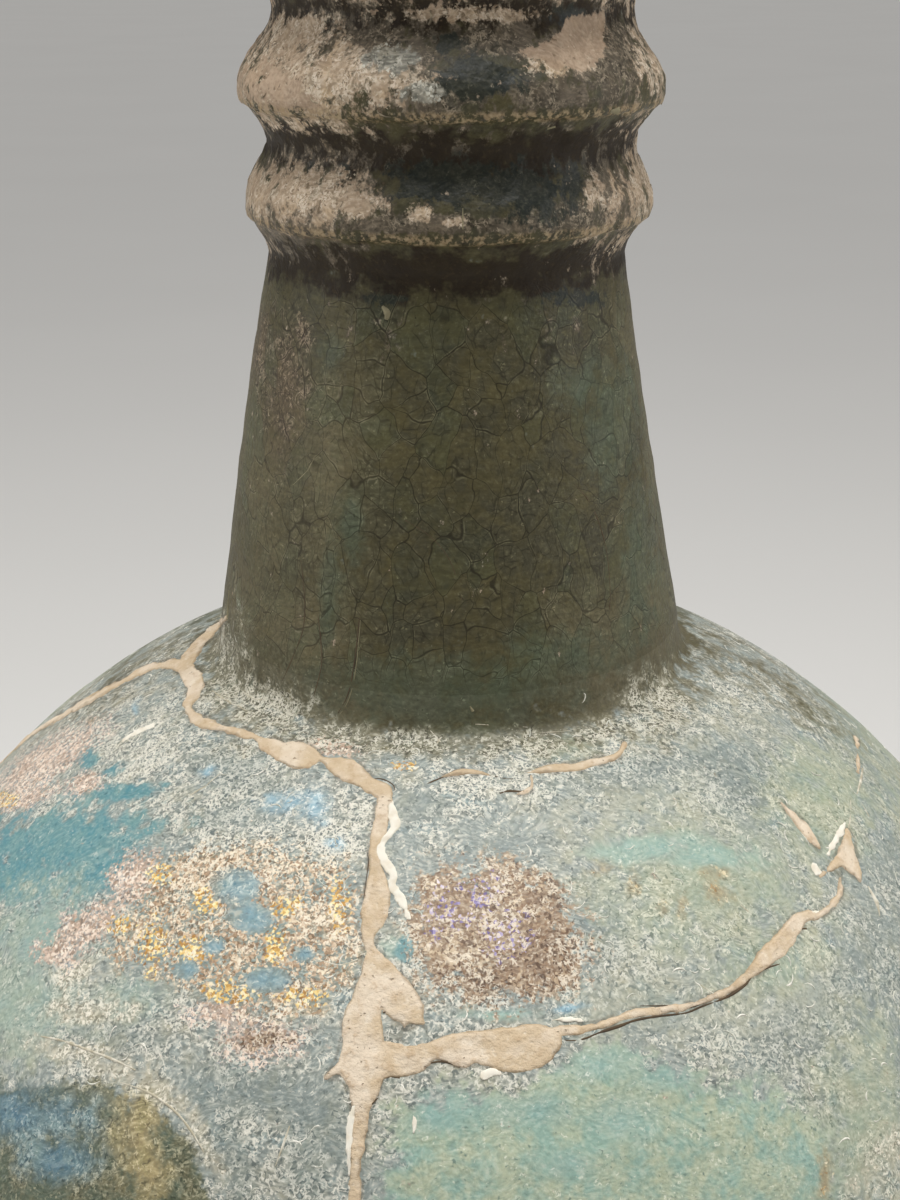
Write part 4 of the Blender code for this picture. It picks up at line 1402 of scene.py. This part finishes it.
def flake_mark(points, marks):
    """How thick loose flakes lie: on the grey film and the crust, in drifts, clear of the fillers."""
    height = points[:, 2]
    smooth = np.max([marks[name] for name in SMOOTH_LAYERS], axis=0)
    film = 0.5 * (1 - rise(smooth, 0.3, 0.55)) * rise(height, 60.0, 170.0) * (1 - marks["olive_and_shade"])
    film = film + 0.5 * marks["silver"] + 0.3 * rise(marks["band"], 0.3, 0.6)
    foot = 0.4 * rise(marks["pale_low"], 0.3, 0.75) + 0.7 * rise(marks["purple"], 0.35, 0.6)
    crust = 0.35 * rise(marks["crust"], 0.45, 0.7) + 0.8 * rise(marks["ring_edge"], 0.3, 0.8)
    drifts = rise(layered_noise(points, 13.0, 99), -0.35, 0.45)
    outer = np.hypot(points[:, 0] - lean(height), points[:, 1]) > wall_radius(height) - 1.5
    thick = np.clip(film + foot, 0.0, 1.0) * drifts + crust * rise(drifts, 0.2, 0.8)
    return thick * rise(marks["filler_gap"], 0.6, 1.4) * outer * (height < MOUTH_HEIGHT - 9.0)


# The pieces

def settle(piece, materials=(), nodes=()):
    """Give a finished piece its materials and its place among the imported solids."""
    for material in materials:
        piece.data.materials.append(material)
    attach(piece, "root")
    if nodes:
        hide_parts(*nodes)


def make_glazed_jar():
    """The vessel with its two glazes, and the loose flakes that lie on it."""
    vessel, places = make_vessel()
    marks = finish_marks(places)
    flakes = make_flakes(vessel, marks, flake_finish())
    add_marks(vessel, {name: values for name, values in marks.items() if name != "flakes"})
    body = glaze_finish("weathered_glaze", BODY_ROWS, BODY_CRUMBS, False)
    neck = glaze_finish("neck_glaze", NECK_ROWS, NECK_CRUMBS, True)
    settle(vessel, [body, neck], ["jar"])
    lowest = np.array([min(places[corner, 2] for corner in face.vertices) for face in vessel.data.polygons])
    finish_number = (lowest > NECK_FINISH_FROM).astype(np.int32)
    vessel.data.polygons.foreach_set("material_index", finish_number)
    settle(flakes)


def make_fillers():
    """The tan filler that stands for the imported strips, and the white filler beside it."""
    filler = filler_finish()
    seam = make_skin("seam_filler_skin", seam_gap, filler_over, (-112, 96), (148, 286), SEAM_CELL)
    settle(seam, [filler], ["seam_filler"])
    crack = make_skin("neck_crack_skin", crack_gap, filler_over, (-8, 42), (258, 272), CRACK_CELL)
    settle(crack, [filler], ["neck_crack_filler"])
    white = make_skin("white_filler", white_gap, white_over, (-100, 80), (205, 275), WHITE_CELL)
    settle(white, [plain_finish("white_filler", "EFE9DA", "E2D8C4", 0.85)])


def make_lines():
    """Dark threads along breaks, which also paint the shadow under sherd steps, marks on the neck and edges
    of cracks.
    """
    for name, routes, first, second, roughness in (
        # Dark threads: cracks and neck lines, and painted shadow under the sherd steps along the breaks
        ("break_lines_and_shadows", DARK_LINES_AND_SHADOWS_PX, "5A4A36", "4C3F30", 0.9),
        ("neck_scratches", NECK_LINES_PX, "7E765A", "8F8768", 0.6),
        ("pale_crack_edges", PALE_LINES_PX, "B5AC94", "E0DACA", 0.6),
    ):
        threads = make_threads(name, routes, plain_finish(name, first, second, roughness), 85)
        settle(threads)


# Floor, light and camera

def make_floor():
    bpy.ops.mesh.primitive_plane_add(size=40.0)
    floor = bpy.context.object
    floor.name = "floor"
    f = Finish("pale_floor")
    floor.data.materials.append(f.finish(f.mix(f.noise(400.0, 2.0), "DDDBD7", "E2E0DC"), 0.9))


def add_light(name, place, target, size, power, colour=(1.0, 1.0, 1.0)):
    """A soft square light that faces a place on the jar."""
    lamp = bpy.data.lights.new(name, "AREA")
    lamp.shape = "SQUARE"
    lamp.size = size
    lamp.energy = power
    lamp.color = colour
    holder = bpy.data.objects.new(name, lamp)
    holder.location = place
    holder.rotation_euler = (Vector(target) - holder.location).to_track_quat("-Z", "Y").to_euler()
    bpy.context.scene.collection.objects.link(holder)


def make_light():
    """A soft light above, one at each side, and a wide sky straight overhead."""
    add_light("overhead", (0.03, -0.08, 1.2), (0.0, 0.0, 0.25), 0.6, OVERHEAD_POWER, (1.0, 0.995, 0.98))
    for side in (-1.0, 1.0):
        add_light("side", (0.8 * side, -0.15, 0.55), (0.0, 0.0, 0.36), 0.5, SIDE_POWER)
    sun = bpy.data.lights.new("wide_sky", "SUN")
    sun.angle = math.radians(70.0)
    sun.energy = SUN_STRENGTH
    bpy.context.scene.collection.objects.link(bpy.data.objects.new("wide_sky", sun))


def make_backdrop():
    """A grey world, brighter to the camera than the light that it sheds."""
    world = bpy.data.worlds.new("studio")
    bpy.context.scene.world = world
    world.use_nodes = True
    nodes = world.node_tree.nodes
    links = world.node_tree.links
    background = nodes["Background"]
    background.inputs["Color"].default_value = BACKDROP_GREY
    seen = nodes.new("ShaderNodeLightPath").outputs["Is Camera Ray"]
    strength = nodes.new("ShaderNodeMapRange")
    strength.inputs["To Min"].default_value = SKY_STRENGTH
    strength.inputs["To Max"].default_value = BACKDROP_STRENGTH
    links.new(seen, strength.inputs["Value"])
    links.new(strength.outputs[0], background.inputs["Strength"])
    bpy.context.scene.view_settings.view_transform = "Standard"


def make_camera():
    camera = bpy.data.cameras.new("photo_view")
    camera.lens = CAMERA_LENS
    camera.sensor_width = SENSOR_HEIGHT
    camera.sensor_fit = "AUTO"
    camera.clip_start = 0.01
    camera.clip_end = 60.0
    holder = bpy.data.objects.new("photo_view", camera)
    aside = (MIDDLE_X_PX - AXIS_X_PX) / FOCAL_PX * CAMERA_AWAY
    holder.location = (aside * MM, -CAMERA_AWAY * MM, CAMERA_HEIGHT * MM)
    holder.rotation_euler = (math.radians(90.0 - CAMERA_DOWN), 0.0, 0.0)
    bpy.context.scene.collection.objects.link(holder)
    bpy.context.scene.camera = holder


make_glazed_jar()
make_fillers()
make_lines()
make_floor()
make_light()
make_backdrop()
make_camera()
